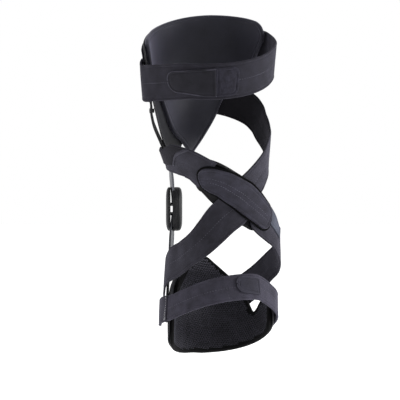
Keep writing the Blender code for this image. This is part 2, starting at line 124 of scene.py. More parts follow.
# Matt paper with a little light of its own, so that the floor runs into the backdrop.
paper, _, _ = new_material(
    "white_paper",
    {
        "Base Color": linear("#f4f4f4"),
        "Roughness": 0.9,
        "Emission Color": linear("#ffffff"),
        "Emission Strength": 0.55,
    },
)
floor_mesh = bpy.data.meshes.new("floor")
floor_level = cad_box[0][2] - FLOOR_DROP
corners = [(FLOOR_HALF * x, FLOOR_HALF * y) for x, y in ((-1, -1), (1, -1), (1, 1), (-1, 1))]
floor_mesh.from_pydata([(x, y, floor_level) for x, y in corners], [], [(0, 1, 2, 3)])
floor_mesh.materials.append(paper)
floor = link_object("floor", floor_mesh)

world = bpy.data.worlds.new("studio")
world.use_nodes = True
bpy.context.scene.world = world
sky = world.node_tree
background = sky.nodes["Background"]
background.inputs["Color"].default_value = linear("#ffffff")
where = add_node(sky, "ShaderNodeTexCoord")
split = add_node(sky, "ShaderNodeSeparateXYZ", {0: where.outputs["Generated"]})
brightness = add_node(
    sky,
    "ShaderNodeMapRange",
    {0: split.outputs["Y"], 1: -0.9, 2: 0.35, 3: PAPER_IN_FRONT, 4: PAPER_BEHIND},
)
sight = add_node(sky, "ShaderNodeLightPath")
seen = add_node(
    sky,
    "ShaderNodeMath",
    {0: sight.outputs["Is Camera Ray"], 1: brightness.outputs[0]},
    operation="MAXIMUM",
)
sky.links.new(seen.outputs[0], background.inputs["Strength"])

for place, energy, size in SOFTBOXES:
    lamp = bpy.data.lights.new("softbox", "AREA")
    lamp.energy = energy
    lamp.size = size
    lamp_object = link_object("softbox", lamp)
    lamp_object.location = place
    aim = Vector(BRACE_MIDDLE) - Vector(place)
    lamp_object.rotation_euler = aim.to_track_quat("-Z", "Y").to_euler()

# Thigh liner: a smooth foam laminate, 4.5 mm thick, moulded to the front of the thigh and
# drawn down to a tip over the kneecap. It is cut round, and its edge is pressed to a bead
# with one groove inside it. Everything soft lies on one form of the bent leg, set out here.
MILLIMETRE = 0.001
THIGH_REACH = 0.212
CALF_REACH = 0.165
# width from side to side, depth from back to front, sway towards the hinge
THIGH_SIZE = (0.130, 0.150, -0.013)
CALF_SIZE = (0.107, 0.116, -0.0043)
KNEE_SIZE = (0.100, 0.108, 0.0)
THIGH_LEAN = 23.0
CALF_LEAN = 24.0
BEND_REACH = 0.055
FORM_MARGIN = 1.2
FORM_STEPS = 240
LINER_WALL = 0.0045
SHELL_WALL = 0.0020
LAYER_GAP = 0.0006
SHELL_LIFT = LINER_WALL + LAYER_GAP
OVER_SHELL = SHELL_LIFT + SHELL_WALL + LAYER_GAP
FORM_ROWS = (
    # height, and how far width, depth and sway have gone from the knee's to the end's
    (-1.00, 1.05, 0.86, 1.00),
    (-0.75, 1.00, 1.00, 0.90),
    (-0.40, 0.70, 0.70, 0.60),
    (-0.15, 0.15, 0.15, 0.15),
    (0.00, 0.00, 0.00, 0.00),
    (0.20, 0.06, 0.15, 0.12),
    (0.45, 0.62, 0.70, 0.60),
    (0.80, 1.12, 0.97, 1.12),
    (1.00, 1.40, 1.02, 1.22),
)
THIGH_ARC = 0.068
LINER_STEP = 0.0022
THIGH_LINER_ROWS = (
    # angle round the leg (0 right, 90 front, 180 hinge side), lower edge, upper edge
    (34, 0.89, 0.930),
    (37, 0.855, 0.955),
    (40, 0.820, 0.970),
    (46, 0.750, 0.982),
    (60, 0.665, 0.985),
    (75, 0.565, 0.985),
    (85, 0.490, 0.985),
    (90, 0.435, 0.985),
    (104, 0.342, 0.983),
    (123, 0.261, 0.978),
    (133, 0.235, 0.975),
    (140, 0.280, 0.973),
    (144, 0.320, 0.972),
    (153, 0.385, 0.970),
    (158, 0.475, 0.968),
    (162, 0.580, 0.965),
    (168, 0.660, 0.962),
    (177, 0.710, 0.955),
    (183, 0.760, 0.940),
)


def curve_through(rows, column):
    """A smooth curve without overshoot through one column of a table, over its first column."""
    xs = np.array([row[0] for row in rows], float)
    ys = np.array([row[column] for row in rows], float)
    steps = np.diff(xs)
    slopes = np.diff(ys) / steps
    tangents = np.concatenate([[slopes[0]], np.zeros(len(xs) - 2), [slopes[-1]]])
    for i in range(1, len(xs) - 1):
        if slopes[i - 1] * slopes[i] > 0:
            before = 2 * steps[i] + steps[i - 1]
            after = steps[i] + 2 * steps[i - 1]
            tangents[i] = (before + after) / (before / slopes[i - 1] + after / slopes[i])

    def value(x):
        x = np.clip(x, xs[0], xs[-1])
        i = np.clip(np.searchsorted(xs, x) - 1, 0, len(steps) - 1)
        t = (x - xs[i]) / steps[i]
        rise = ys[i] * (1 + 2 * t) + tangents[i] * steps[i] * t
        fall = ys[i + 1] * (3 - 2 * t) - tangents[i + 1] * steps[i] * (1 - t)
        return rise * (1 - t) ** 2 + fall * t**2

    return value


def lean_at(height):
    """How far back the leg leans at a height: a smooth step from calf to thigh."""
    t = np.clip(height / BEND_REACH, -1, 1)
    return np.radians((0.5 + 0.75 * t - 0.25 * t**3) * (THIGH_LEAN + CALF_LEAN) - CALF_LEAN)


FORM_SHARES = [curve_through(FORM_ROWS, column) for column in (1, 2, 3)]
FORM_HEIGHTS = np.linspace(-FORM_MARGIN * CALF_REACH, FORM_MARGIN * THIGH_REACH, FORM_STEPS)


def summed(values):
    """The sum of values over the form's heights, from the knee."""
    steps = (values[1:] + values[:-1]) / 2 * (FORM_HEIGHTS[1] - FORM_HEIGHTS[0])
    sums = np.concatenate([[0], np.cumsum(steps)])
    return sums - np.interp(0, FORM_HEIGHTS, sums)


FORM_BACKS = summed(-np.sin(lean_at(FORM_HEIGHTS)))
FORM_UPS = summed(np.cos(lean_at(FORM_HEIGHTS)))


def leg_section(height):
    """Centre, front and up directions, and the two half sizes of the leg at each height."""
    above = height > 0
    share = height / np.where(above, THIGH_REACH, CALF_REACH)
    width, depth, sway = (
        knee + (np.where(above, thigh, calf) - knee) * part(share)
        for knee, thigh, calf, part in zip(KNEE_SIZE, THIGH_SIZE, CALF_SIZE, FORM_SHARES)
    )
    backs = np.interp(height, FORM_HEIGHTS, FORM_BACKS)
    ups = np.interp(height, FORM_HEIGHTS, FORM_UPS)
    lean = lean_at(height)
    centre = np.stack([sway, backs, ups], -1)
    front = np.stack([0 * lean, np.cos(lean), np.sin(lean)], -1)
    up = np.stack([0 * lean, -np.sin(lean), np.cos(lean)], -1)
    return centre, front, up, width / 2, depth / 2


def leg_point(angle, height, lift):
    """Points at angles round the leg, heights along it and lifts off it."""
    centre, front, _, half_width, half_depth = leg_section(height)
    turn = np.radians(angle)
    side = ((half_width + lift) * np.cos(turn))[..., None] * np.array([1.0, 0, 0])
    return centre + side + front * ((half_depth + lift) * np.sin(turn))[..., None]


def spread(length, step, fine):
    """Places along a length: fine ones in from both ends, and about step apart between."""
    fine = np.array(fine) * MILLIMETRE * min(1, length / (2.5 * fine[-1] * MILLIMETRE))
    between = length - 2 * fine[-1]
    middle = np.linspace(0, between, max(2, round(between / step) + 1)) + fine[-1]
    return np.concatenate([fine[:-1], middle, length - fine[:-1][::-1]])


# Millimetres in from a rim, close enough for its round edge and its seam to show.
RIM_FINE = (0, 0.12, 0.35, 0.7, 1.15, 1.65, 2.2, 2.8, 3.4, 4.0, 4.6, 5.4, 6.5)


def shell_grid(rows, lift, step, arc, fine=RIM_FINE):
    """A shell's inner face, with its distances round the leg (arc: metres a radian) and up."""
    reach = THIGH_REACH if rows[0][1] > 0 else CALF_REACH
    low, high = curve_through(rows, 1), curve_through(rows, 2)
    width = math.radians(rows[-1][0] - rows[0][0]) * arc
    rounds = spread(width, step, fine)
    angles = rows[0][0] + np.degrees(rounds / arc)
    tall = reach * max(high(a) - low(a) for a in angles)
    ups = spread(tall, step, fine)
    bottom, top = (edge(angles)[:, None] * reach for edge in (low, high))
    height = bottom + (top - bottom) * (ups / tall)
    angle = np.broadcast_to(angles[:, None], height.shape)
    points = leg_point(angle, height, np.full(height.shape, lift))
    return points, np.broadcast_to(rounds[:, None], height.shape), height


def outward_of(points):
    """Unit normals of a grid of points, away from the leg."""
    normal = np.cross(np.gradient(points, axis=0), np.gradient(points, axis=1))
    normal /= np.linalg.norm(normal, axis=-1, keepdims=True) + 1e-12
    centre = leg_section(points[..., 2])[0]
    away = (normal * (points - centre)).sum(-1).mean()
    return normal if away > 0 else -normal


def rim_distance(points):
    """How far each point of a grid is from the grid's rim."""
    rim = np.concatenate([points[:, 0], points[-1, 1:], points[-2::-1, -1], points[0, -2::-1]])
    shares = np.linspace(0, 1, 5)[:-1, None, None]
    rim = (rim[:-1] * (1 - shares) + rim[1:] * shares).reshape(-1, 3)
    tree = kdtree.KDTree(len(rim))
    for i, spot in enumerate(rim):
        tree.insert(spot, i)
    tree.balance()
    flat = points.reshape(-1, 3)
    return np.array([tree.find(p)[2] for p in flat]).reshape(points.shape[:2])


WELD = 2e-6


def groove(x, at, width, depth):
    """A pressed line: how far it takes the surface in, at distances x from a rim or a seam."""
    return -depth * np.exp(-(((x - at) / width) ** 2))


def add_wall(name, grid, wall, materials, outer=None, inner=None, rounding=0.5):
    """A closed wall on a grid. outer and inner: relief functions of distance along, across
    and in from the rim, towards the outside of the wall. rounding: share of the wall."""
    points, along, across = grid
    normal = outward_of(points)
    rim = rim_distance(points)
    radius = rounding * wall
    near = np.clip(radius - rim, 0, radius)
    drop = radius - np.sqrt(radius**2 - near**2)
    fade = np.clip(rim / radius, 0, 1)
    out = wall - drop + (outer(along, across, rim) * fade if outer else 0)
    into = drop - (inner(along, across, rim) * fade if inner else 0)
    sides = [points + normal * out[..., None], points + normal * into[..., None]]
    nu, nv = points.shape[:2]
    verts = np.concatenate([side.reshape(-1, 3) for side in sides])
    index = np.arange(nu * nv).reshape(nu, nv)
    quads = np.stack([index[:-1, :-1], index[1:, :-1], index[1:, 1:], index[:-1, 1:]], -1)
    quads = quads.reshape(-1, 4)
    first = np.cross(points[1, 0] - points[0, 0], points[0, 1] - points[0, 0])
    if first.dot(normal[0, 0]) < 0:
        quads = quads[:, ::-1]
    ring = np.concatenate([index[:, 0], index[-1, 1:], index[-2::-1, -1], index[0, -2:0:-1]])
    after = np.roll(ring, -1)
    skirt = np.stack([ring, after, after + nu * nv, ring + nu * nv], -1)
    if first.dot(normal[0, 0]) > 0:
        skirt = skirt[:, ::-1]
    faces = np.concatenate([quads, quads[:, ::-1] + nu * nv, skirt])
    mesh = bpy.data.meshes.new(name)
    mesh.from_pydata(verts.tolist(), [], faces.tolist())
    flat = np.tile(np.stack([along, across], -1).reshape(-1, 2), (2, 1))
    corner = np.zeros(len(mesh.loops), int)
    mesh.loops.foreach_get("vertex_index", corner)
    mesh.uv_layers.new(name="flat").data.foreach_set("uv", flat[corner].ravel())
    slots = np.zeros(len(faces), int)
    slots[len(quads) :] = len(materials) - 1
    for made in materials:
        mesh.materials.append(made)
    mesh.polygons.foreach_set("material_index", slots)
    bm = bmesh.new()
    bm.from_mesh(mesh)
    bmesh.ops.remove_doubles(bm, verts=bm.verts[:], dist=WELD)
    bm.to_mesh(mesh)
    bm.free()
    mesh.shade_smooth()
    made = link_object(name, mesh)
    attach(made, "root")
    return made


def fabric(name, dark, light, sheen, thread, nap, mottle, roughness, depth, specular=0.12):
    """Cloth in two shades of one colour: threads across it, nap on it and broad mottling.
    thread: width of a thread in metres, or 0 for none. nap, mottle: sizes in metres. The
    violet sheen is the pale edge that a dyed black pile shows against the light."""
    made, tree, shader = new_material(
        name,
        {
            "Roughness": roughness,
            "Specular IOR Level": specular,
            "Sheen Weight": sheen,
            "Sheen Roughness": 0.45,
            "Sheen Tint": linear("#c6c3dd"),
        },
    )
    place = add_node(tree, "ShaderNodeTexCoord").outputs["Object"]
    broad = add_node(
        tree, "ShaderNodeTexNoise", {"Vector": place, "Scale": 1 / mottle, "Detail": 3.0}
    )
    fuzz = add_node(
        tree,
        "ShaderNodeTexNoise",
        {"Vector": place, "Scale": 1 / nap, "Detail": 4.0, "Roughness": 0.7},
    )
    height = fuzz.outputs["Fac"]
    if thread:
        sheet = add_node(tree, "ShaderNodeUVMap", uv_map="flat")
        rib = add_node(
            tree,
            "ShaderNodeTexWave",
            {
                "Vector": sheet.outputs[0],
                "Scale": 2 * math.pi / 20 / thread,
                "Distortion": 1.5,
                "Detail": 2.0,
            },
            bands_direction="Y",
        )
        mixed = add_node(
            tree,
            "ShaderNodeMath",
            {0: rib.outputs["Fac"], 1: 0.14, 2: height},
            operation="MULTIPLY_ADD",
        )
        height = mixed.outputs[0]
    shade = add_node(
        tree,
        "ShaderNodeMath",
        {0: broad.outputs["Fac"], 1: 1.3, 2: height},
        operation="MULTIPLY_ADD",
    )
    ramp = add_node(tree, "ShaderNodeMapRange", {0: shade.outputs[0], 1: 0.7, 2: 1.7})
    colour = add_node(
        tree,
        "ShaderNodeMix",
        {0: ramp.outputs[0], 6: linear(dark), 7: linear(light)},
        data_type="RGBA",
    )
    bump = add_node(
        tree, "ShaderNodeBump", {"Height": height, "Strength": depth, "Distance": 0.0006}
    )
    tree.links.new(colour.outputs[2], shader.inputs["Base Color"])
    tree.links.new(bump.outputs[0], shader.inputs["Normal"])
    return made


def pressed_edge(along, across, rim):
    """The liner's rim: a bead, and the welded groove inside it."""
    bead = 0.25 * MILLIMETRE * np.clip(1 - (rim / 0.0034) ** 4, 0, 1)
    return bead + groove(rim, 0.0038, 0.0006, 0.0006)


# Foam laminate: its smooth knitted skin gives a soft satin sheen, with no weave to see.
foam_lining = fabric("foam_lining", "#1c1c21", "#282830", 0.45, 0, 0.0008, 0.03, 0.5, 0.1, 0.1)
thigh_liner = add_wall(
    "thigh_liner_foam",
    shell_grid(THIGH_LINER_ROWS, 0.0, LINER_STEP, THIGH_ARC),
    LINER_WALL,
    [foam_lining],
    inner=pressed_edge,
)
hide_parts("thigh_liner")

# Thigh shell: satin black thermoplastic, 2 mm thick, moulded over a form and trimmed with a
# rounded edge. It stands outside the liner and carries the upper arm and both upper straps.
THIGH_SHELL_ARC = 0.074
SHELL_STEP = 0.0025
THIGH_SHELL_ROWS = (
    # angle, lower edge, upper edge
    (41, 0.840, 0.930),
    (47, 0.765, 0.962),
    (61, 0.685, 0.968),
    (76, 0.585, 0.968),
    (86, 0.510, 0.968),
    (91, 0.455, 0.968),
    (105, 0.360, 0.966),
    (123, 0.285, 0.962),
    (138, 0.300, 0.958),
    (147, 0.276, 0.955),
    (155, 0.268, 0.952),
    (163, 0.285, 0.948),
    (169, 0.300, 0.944),
    (174, 0.315, 0.940),
    (179, 0.330, 0.934),
    (184, 0.355, 0.926),
    (187, 0.410, 0.918),
)


def moulded(name, dark, light, grain, roughness, depth=0.12, specular=0.22):
    """Plastic with the fine grain of its mould, grain metres apart, and a slight unevenness
    of shade, which breaks up its highlights."""
    made, tree, shader = new_material(
        name, {"Roughness": roughness, "IOR": 1.5, "Specular IOR Level": specular}
    )
    place = add_node(tree, "ShaderNodeTexCoord").outputs["Object"]
    fine = add_node(
        tree, "ShaderNodeTexNoise", {"Vector": place, "Scale": 1 / grain, "Detail": 3.0}
    )
    broad = add_node(tree, "ShaderNodeTexNoise", {"Vector": place, "Scale": 40.0, "Detail": 2.0})
    colour = add_node(
        tree,
        "ShaderNodeMix",
        {0: broad.outputs["Fac"], 6: linear(dark), 7: linear(light)},
        data_type="RGBA",
    )
    bump = add_node(
        tree,
        "ShaderNodeBump",
        {"Height": fine.outputs["Fac"], "Strength": depth, "Distance": 0.0004},
    )
    tree.links.new(colour.outputs[2], shader.inputs["Base Color"])
    tree.links.new(bump.outputs[0], shader.inputs["Normal"])
    return made


# Thermoplastic from a grained mould: a wide, soft highlight and no mirror edge. The grain is
# drawn at 0.9 mm, some three times the real one, to show.
shell_plastic = moulded("satin_thermoplastic", "#1c1c1f", "#26262a", 0.0009, 0.5)
thigh_shell = add_wall(
    "thigh_shell_moulding",
    shell_grid(THIGH_SHELL_ROWS, SHELL_LIFT, SHELL_STEP, THIGH_SHELL_ARC),
    SHELL_WALL,
    [shell_plastic],
)
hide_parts("thigh_shell")

# Calf liner: black spacer mesh, 4.5 mm thick, its open knit towards the leg. A leaf rises
# behind the shin, with a notch and a small wing beside it. The rim is bound with tape.
CALF_LINER_ROWS = (
    # angle, lower edge, upper edge
    (10, -0.800, -0.650),
    (15, -0.850, -0.610),
    (24, -0.872, -0.590),
    (34, -0.880, -0.602),
    (41, -0.886, -0.640),
    (47, -0.890, -0.662),
    (51, -0.893, -0.630),
    (57, -0.897, -0.550),
    (79, -0.912, -0.368),
    (102, -0.930, -0.262),
    (112, -0.940, -0.235),
    (124, -0.950, -0.240),
    (138, -0.972, -0.310),
    (152, -0.990, -0.430),
    (162, -0.996, -0.540),
    (168, -0.995, -0.660),
    (178, -0.985, -0.700),
    (185, -0.920, -0.740),
)
CALF_ARC = 0.055
# The real knit repeats about every 1.5 mm. It is drawn twice as coarse, so that it shows.
KNIT_PITCH = 0.0030
KNIT_CELL = (0.0022, 0.0022, 0.0014, 0.17)
KNIT_MARGIN = 0.0048
KNIT_EDGE = 0.002
ROW_SHARE = 0.866


def repeat_along(name, points, outward, material, ends, size, along=None, pitch=None):
    """Beads, stitches or knit cells on points, or every pitch along the lines between them.
    ends: the chains of points that are lines. size: length, width and height in metres."""
    mesh = bpy.data.meshes.new(name)
    edges = [(a, a + 1) for first, last in ends for a in range(first, last)]
    mesh.from_pydata(np.asarray(points).tolist(), edges, [])
    for key, values in (("outward", outward), ("along", along)):
        if values is not None:
            made = mesh.attributes.new(key, "FLOAT_VECTOR", "POINT")
            made.data.foreach_set("vector", np.asarray(values, float).ravel())
    tree = bpy.data.node_groups.new(name, "GeometryNodeTree")
    for label, kind in (("Lines", "Geometry"), ("Pitch", "Float"), ("Size", "Vector")):
        tree.interface.new_socket(label, in_out="INPUT", socket_type="NodeSocket" + kind)
    tree.interface.new_socket("Mesh", in_out="OUTPUT", socket_type="NodeSocketGeometry")
    given = add_node(tree, "NodeGroupInput")
    spots = given.outputs["Lines"]
    if pitch:
        lines = add_node(tree, "GeometryNodeMeshToCurve", {0: spots})
        spaced = add_node(
            tree,
            "GeometryNodeResampleCurve",
            {"Curve": lines.outputs[0], "Length": given.outputs["Pitch"]},
            mode="LENGTH",
        )
        spots = spaced.outputs[0]
        run = add_node(tree, "GeometryNodeInputTangent").outputs[0]
    else:
        run = add_node(
            tree, "GeometryNodeInputNamedAttribute", {"Name": "along"}, data_type="FLOAT_VECTOR"
        ).outputs[0]
    off = add_node(
        tree, "GeometryNodeInputNamedAttribute", {"Name": "outward"}, data_type="FLOAT_VECTOR"
    )
    upright = add_node(
        tree, "FunctionNodeAlignRotationToVector", {"Vector": off.outputs[0]}, axis="Z"
    )
    turned = add_node(
        tree,
        "FunctionNodeAlignRotationToVector",
        {"Rotation": upright.outputs[0], "Vector": run},
        axis="X",
        pivot_axis="Z",
    )
    item = add_item(tree, size)
    sized = add_node(
        tree, "GeometryNodeTransform", {"Geometry": item, "Scale": given.outputs["Size"]}
    )
    placed = add_node(
        tree,
        "GeometryNodeInstanceOnPoints",
        {"Points": spots, "Instance": sized.outputs[0], "Rotation": turned.outputs[0]},
    )
    real = add_node(tree, "GeometryNodeRealizeInstances", {0: placed.outputs[0]})
    dressed = add_node(tree, "GeometryNodeSetMaterial", {0: real.outputs[0]})
    dressed.inputs["Material"].default_value = material
    add_node(tree, "NodeGroupOutput", {0: dressed.outputs[0]})
    made = link_object(name, mesh)
    modifier = made.modifiers.new(name, "NODES")
    modifier.node_group = tree
    sockets = {socket.name: socket.identifier for socket in tree.interface.items_tree}
    modifier[sockets["Pitch"]] = float(pitch or 1)
    modifier[sockets["Size"]] = [float(v) for v in size[:3]]
    made.update_tag()
    bpy.context.view_layer.update()
    graph = bpy.context.evaluated_depsgraph_get()
    result = bpy.data.meshes.new_from_object(made.evaluated_get(graph))
    made.modifiers.remove(modifier)
    result.name = name
    made.data = result
    result.shade_smooth()
    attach(made, "root")
    return made


def add_item(tree, size):
    """The repeated item, one metre across: an open ring where size has a fourth entry, the
    ring's thickness as a share of its width, or else a bead."""
    if len(size) > 3:
        ring = add_node(tree, "GeometryNodeCurvePrimitiveCircle", {"Resolution": 6})
        ring.inputs["Radius"].default_value = 0.5
        section = add_node(tree, "GeometryNodeCurvePrimitiveCircle", {"Resolution": 3})
        section.inputs["Radius"].default_value = size[3]
        tube = add_node(
            tree,
            "GeometryNodeCurveToMesh",
            {"Curve": ring.outputs[0], "Profile Curve": section.outputs[0]},
        )
        return tube.outputs["Mesh"]
    bead = add_node(tree, "GeometryNodeMeshUVSphere", {"Segments": 6, "Rings": 4, "Radius": 0.5})
    return bead.outputs["Mesh"]


def bound_edge(along, across, rim):
    """The tape round the rim, and the seam that holds it."""
    tape = 0.35 * MILLIMETRE * np.clip(1 - (rim / 0.0032) ** 6, 0, 1)
    return tape + groove(rim, 0.0035, 0.0005, 0.0004)


# Spacer mesh: black yarn, its ground near black, darker than the yarn itself, as painted shade
# for the depth of the open cells.
spacer_mesh = fabric("spacer_mesh", "#060607", "#0b0b0c", 0.03, 0, 0.0006, 0.02, 0.85, 0.2)
calf_grid = shell_grid(CALF_LINER_ROWS, 0.0, LINER_STEP, CALF_ARC)
calf_liner = add_wall("calf_liner_mesh", calf_grid, LINER_WALL, [spacer_mesh], inner=bound_edge)
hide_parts("calf_liner")

knit_low, knit_high = curve_through(CALF_LINER_ROWS, 1), curve_through(CALF_LINER_ROWS, 2)
knit_first = CALF_LINER_ROWS[0][0]
knit_width = math.radians(CALF_LINER_ROWS[-1][0] - knit_first) * CALF_ARC
cells = []
for row, up in enumerate(np.arange(-CALF_REACH, -0.2 * CALF_REACH, KNIT_PITCH * ROW_SHARE)):
    for run in np.arange(0.5 * (row % 2) * KNIT_PITCH, knit_width, KNIT_PITCH):
        angle = knit_first + math.degrees(run / CALF_ARC)
        low, high = knit_low(angle) * CALF_REACH, knit_high(angle) * CALF_REACH
        if low + KNIT_EDGE < up < high - KNIT_EDGE:
            cells.append((angle, up))
cells = np.array(cells)
cell_points = leg_point(cells[:, 0], cells[:, 1], np.zeros(len(cells)))
calf_rim = calf_grid[0]
rim_tree = kdtree.KDTree(2 * sum(calf_rim.shape[:2]))
for spot in (*calf_rim[:, 0], *calf_rim[:, -1], *calf_rim[0], *calf_rim[-1]):
    rim_tree.insert(spot, 0)
rim_tree.balance()
inside = np.array([rim_tree.find(p)[2] > KNIT_MARGIN for p in cell_points])
cells, cell_points = cells[inside], cell_points[inside]
towards_leg = cell_points - leg_point(cells[:, 0], cells[:, 1], np.full(len(cells), MILLIMETRE))
round_leg = leg_point(cells[:, 0] + 1, cells[:, 1], np.zeros(len(cells))) - cell_points
# Polyester yarn: each open cell catches a small dull light, so that the field sparkles. Its
# colour is painted darker low down, full on the leaf and near black at the bottom: painted shade.
knit_yarn = fabric("knit_yarn", "#3b3a43", "#605f6b", 0.2, 0, 0.0005, 0.02, 0.6, 0.1, 0.2)
yarn_tree = knit_yarn.node_tree
yarn_place = add_node(yarn_tree, "ShaderNodeTexCoord")
yarn_height = add_node(
    yarn_tree, "ShaderNodeSeparateXYZ", {"Vector": yarn_place.outputs["Object"]}
)
# Painted shade: the yarn's colour is scaled by height, from 0.42 low down to full on the leaf.
painted_shade_by_height = add_node(
    yarn_tree,
    "ShaderNodeMapRange",
    {0: yarn_height.outputs["Z"], 1: -0.13, 2: -0.06, 3: 0.42, 4: 1.0},
)
yarn_shader = yarn_tree.nodes["Principled BSDF"]
painted_shade_yarn = add_node(
    yarn_tree,
    "ShaderNodeVectorMath",
    {0: yarn_shader.inputs["Base Color"].links[0].from_socket},
    operation="SCALE",
)
yarn_tree.links.new(painted_shade_by_height.outputs[0], painted_shade_yarn.inputs["Scale"])
yarn_tree.links.new(painted_shade_yarn.outputs[0], yarn_shader.inputs["Base Color"])
calf_knit = repeat_along(
    "calf_liner_knit", cell_points, towards_leg, knit_yarn, [], KNIT_CELL, along=round_leg
)

# Calf shell: the same satin thermoplastic, 2 mm thick and moulded to the front of the calf.
# It stands outside the calf liner, and the lower arm and two straps are fixed on it.
CALF_SHELL_ROWS = (
    # angle, lower edge, upper edge
    (6, -0.770, -0.670),
    (12, -0.820, -0.630),
    (22, -0.848, -0.612),
    (33, -0.860, -0.624),
    (41, -0.866, -0.665),
    (47, -0.870, -0.685),
    (52, -0.873, -0.655),
    (58, -0.877, -0.575),
    (79, -0.892, -0.400),
    (102, -0.910, -0.295),
    (112, -0.920, -0.270),
    (124, -0.930, -0.275),
    (138, -0.950, -0.340),
    (152, -0.965, -0.425),
    (161, -0.970, -0.465),
    (167, -0.968, -0.510),
    (173, -0.965, -0.560),
    (180, -0.955, -0.630),
    (188, -0.900, -0.730),
)
calf_shell = add_wall(
    "calf_shell_moulding",
    shell_grid(CALF_SHELL_ROWS, SHELL_LIFT, SHELL_STEP, CALF_ARC),
    SHELL_WALL,
    [shell_plastic],
)
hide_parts("calf_shell")

# Thigh strap: a band of foam-backed loop cloth, 41 mm wide, from the far side of the thigh
# shell round behind the thigh and back. Its edges are turned in, and two rows of thread
# run along them, with a third down the middle.
STRAP_WALL = 0.0020
TAB_WALL = 0.0018
ARM_WALL = 0.0025
RIVET_HEIGHT = 0.0008
ON_LEG = 0.0010
PAD_WALL = 0.0040
CLEARANCE = 0.0003
OVER_ARM = OVER_SHELL + ARM_WALL + RIVET_HEIGHT + LAYER_GAP
OVER_ARM_STRAP = OVER_ARM + STRAP_WALL + LAYER_GAP
OVER_STRAP = ON_LEG + STRAP_WALL + LAYER_GAP
OVER_PAD = PAD_WALL + 2 * LAYER_GAP
OVER_PAD_STRAP = OVER_PAD + STRAP_WALL + LAYER_GAP
OVER_CROSSING = OVER_PAD_STRAP + LAYER_GAP
OVER_SHELL_STRAP = OVER_SHELL + STRAP_WALL + LAYER_GAP
THIGH_STRAP_WIDTH = 0.041
THIGH_STRAP_ROWS = (
    # angle, height, lift
    (171, 0.737, OVER_ARM),
    (190, 0.743, OVER_ARM),
    (206, 0.775, 0.6 * OVER_ARM),
    (227, 0.811, ON_LEG),
    (252, 0.842, ON_LEG),
    (285, 0.848, ON_LEG),
    (315, 0.850, ON_LEG),
    (345, 0.856, ON_LEG),
    (366, 0.850, ON_LEG),
    (384, 0.840, 0.5 * OVER_SHELL),
    (400, 0.834, OVER_SHELL),
    (450, 0.832, OVER_SHELL),
    (500, 0.832, OVER_SHELL),
    (524, 0.824, OVER_SHELL),
    (540, 0.812, OVER_SHELL),
)
EDGE_FINE = (0, 0.12, 0.35, 0.7, 1.1, 1.6, 2.1, 2.5, 2.9, 3.3, 3.8, 4.5)
TAB_STEPS = (0.0014, 0.0012)
SIGHT = 0.002
SEATING_ROUNDS = 6
HEM = 0.0031
EDGE_BEAD = 0.00015
BEAD_WIDTH = 0.0026
RIPPLE = 0.00006
THREAD_SINK = 0.0002


class StrapPath:
    """The centre line of a strap on the leg form, measured along its length. A row has its
    angle, height and lift, and its width as a share of the strap's where that changes."""

    def __init__(self, rows):
        numbered = [(i, *row, 1)[:5] for i, row in enumerate(rows)]
        turns = np.linspace(0, len(rows) - 1, 12 * len(rows))
        angle, share, lift, width = (curve_through(numbered, k)(turns) for k in (1, 2, 3, 4))
        height = share * np.where(share > 0, THIGH_REACH, CALF_REACH)
        self.spots = np.stack([angle, height, lift, width], -1)
        self.points = leg_point(angle, height, lift)
        runs = np.linalg.norm(np.diff(self.points, axis=0), axis=1)
        self.along = np.concatenate([[0], np.cumsum(runs)])
        self.length = self.along[-1]

    def read(self, table, distance):
        return np.stack([np.interp(distance, self.along, column) for column in table.T], -1)

    def at(self, distance):
        """Points, directions across, and rows of the table at distances along the strap."""
        spot = self.read(self.spots, distance)
        point = self.read(self.points, distance)
        ahead = self.read(self.points, distance + SIGHT)
        behind = self.read(self.points, distance - SIGHT)
        outward = leg_point(spot[:, 0], spot[:, 1], spot[:, 2] + SIGHT) - point
        aside = np.cross(outward, ahead - behind)
        return point, aside / np.linalg.norm(aside, axis=-1, keepdims=True), spot


def seated(place, height, lift):
    """The points at these lifts off the leg that are nearest to places beside it."""
    for _ in range(SEATING_ROUNDS):
        centre, front, up, half_width, half_depth = leg_section(height)
        height = height + ((place - centre) * up).sum(-1)
    centre, front, up, half_width, half_depth = leg_section(height)
    beside = place - centre
    angle = np.arctan2((beside * front).sum(-1) / half_depth, beside[..., 0] / half_width)
    return leg_point(np.degrees(angle), height, lift)


def strap_grid(
    rows, width, ends=(0, 0), step=0.002, across_step=0.0014, fine=EDGE_FINE, tilt=None
):
    """A strap's inner face, with its distances along and across from its middle. tilt: how
    much further off the leg it stands at one place than at another, from angle, height and
    the distance from the upper edge as a share of the width."""
    path = StrapPath(rows)
    along = spread(path.length, step, fine)
    across = spread(width, across_step, fine) - width / 2
    half = np.full(len(along), width / 2)
    for share, gone in zip(ends, (along, path.length - along)):
        radius = share * width / 2
        if radius:
            short = radius - np.sqrt(radius**2 - np.clip(radius - gone, 0, radius) ** 2)
            half -= np.minimum(short, 0.8 * half)
    point, aside, spot = path.at(along)
    reach = across[None] * (half / (width / 2) * spot[:, 3])[:, None]
    place = point[:, None] + aside[:, None] * reach[..., None]
    height = np.broadcast_to(spot[:, 1:2], reach.shape)
    lift = np.broadcast_to(spot[:, 2:3], reach.shape)
    if tilt:
        lift = lift + tilt(spot[:, 0:1], height, 0.5 - reach / width)
    return seated(place, height, lift), np.broadcast_to(along[:, None], reach.shape), reach


def seamed(seams, hem=HEM):
    """Relief of a strap: a soft bead along its edges, with a row of stitches pulled in
    beside it, and more rows at the distances from its middle in seams."""

    def relief(along, across, rim):
        bead = EDGE_BEAD * np.clip(1 - (rim / BEAD_WIDTH) ** 4, 0, 1)
        sewn = groove(rim, hem, 0.00055, 0.0004)
        for seam in seams:
            sewn = sewn + groove(across, seam, 0.0006, 0.00045)
        ripple = np.sin(along * 190 + across * 60) + np.sin(along * 83 - across * 140 + 1)
        return bead + sewn + RIPPLE * ripple

    return relief


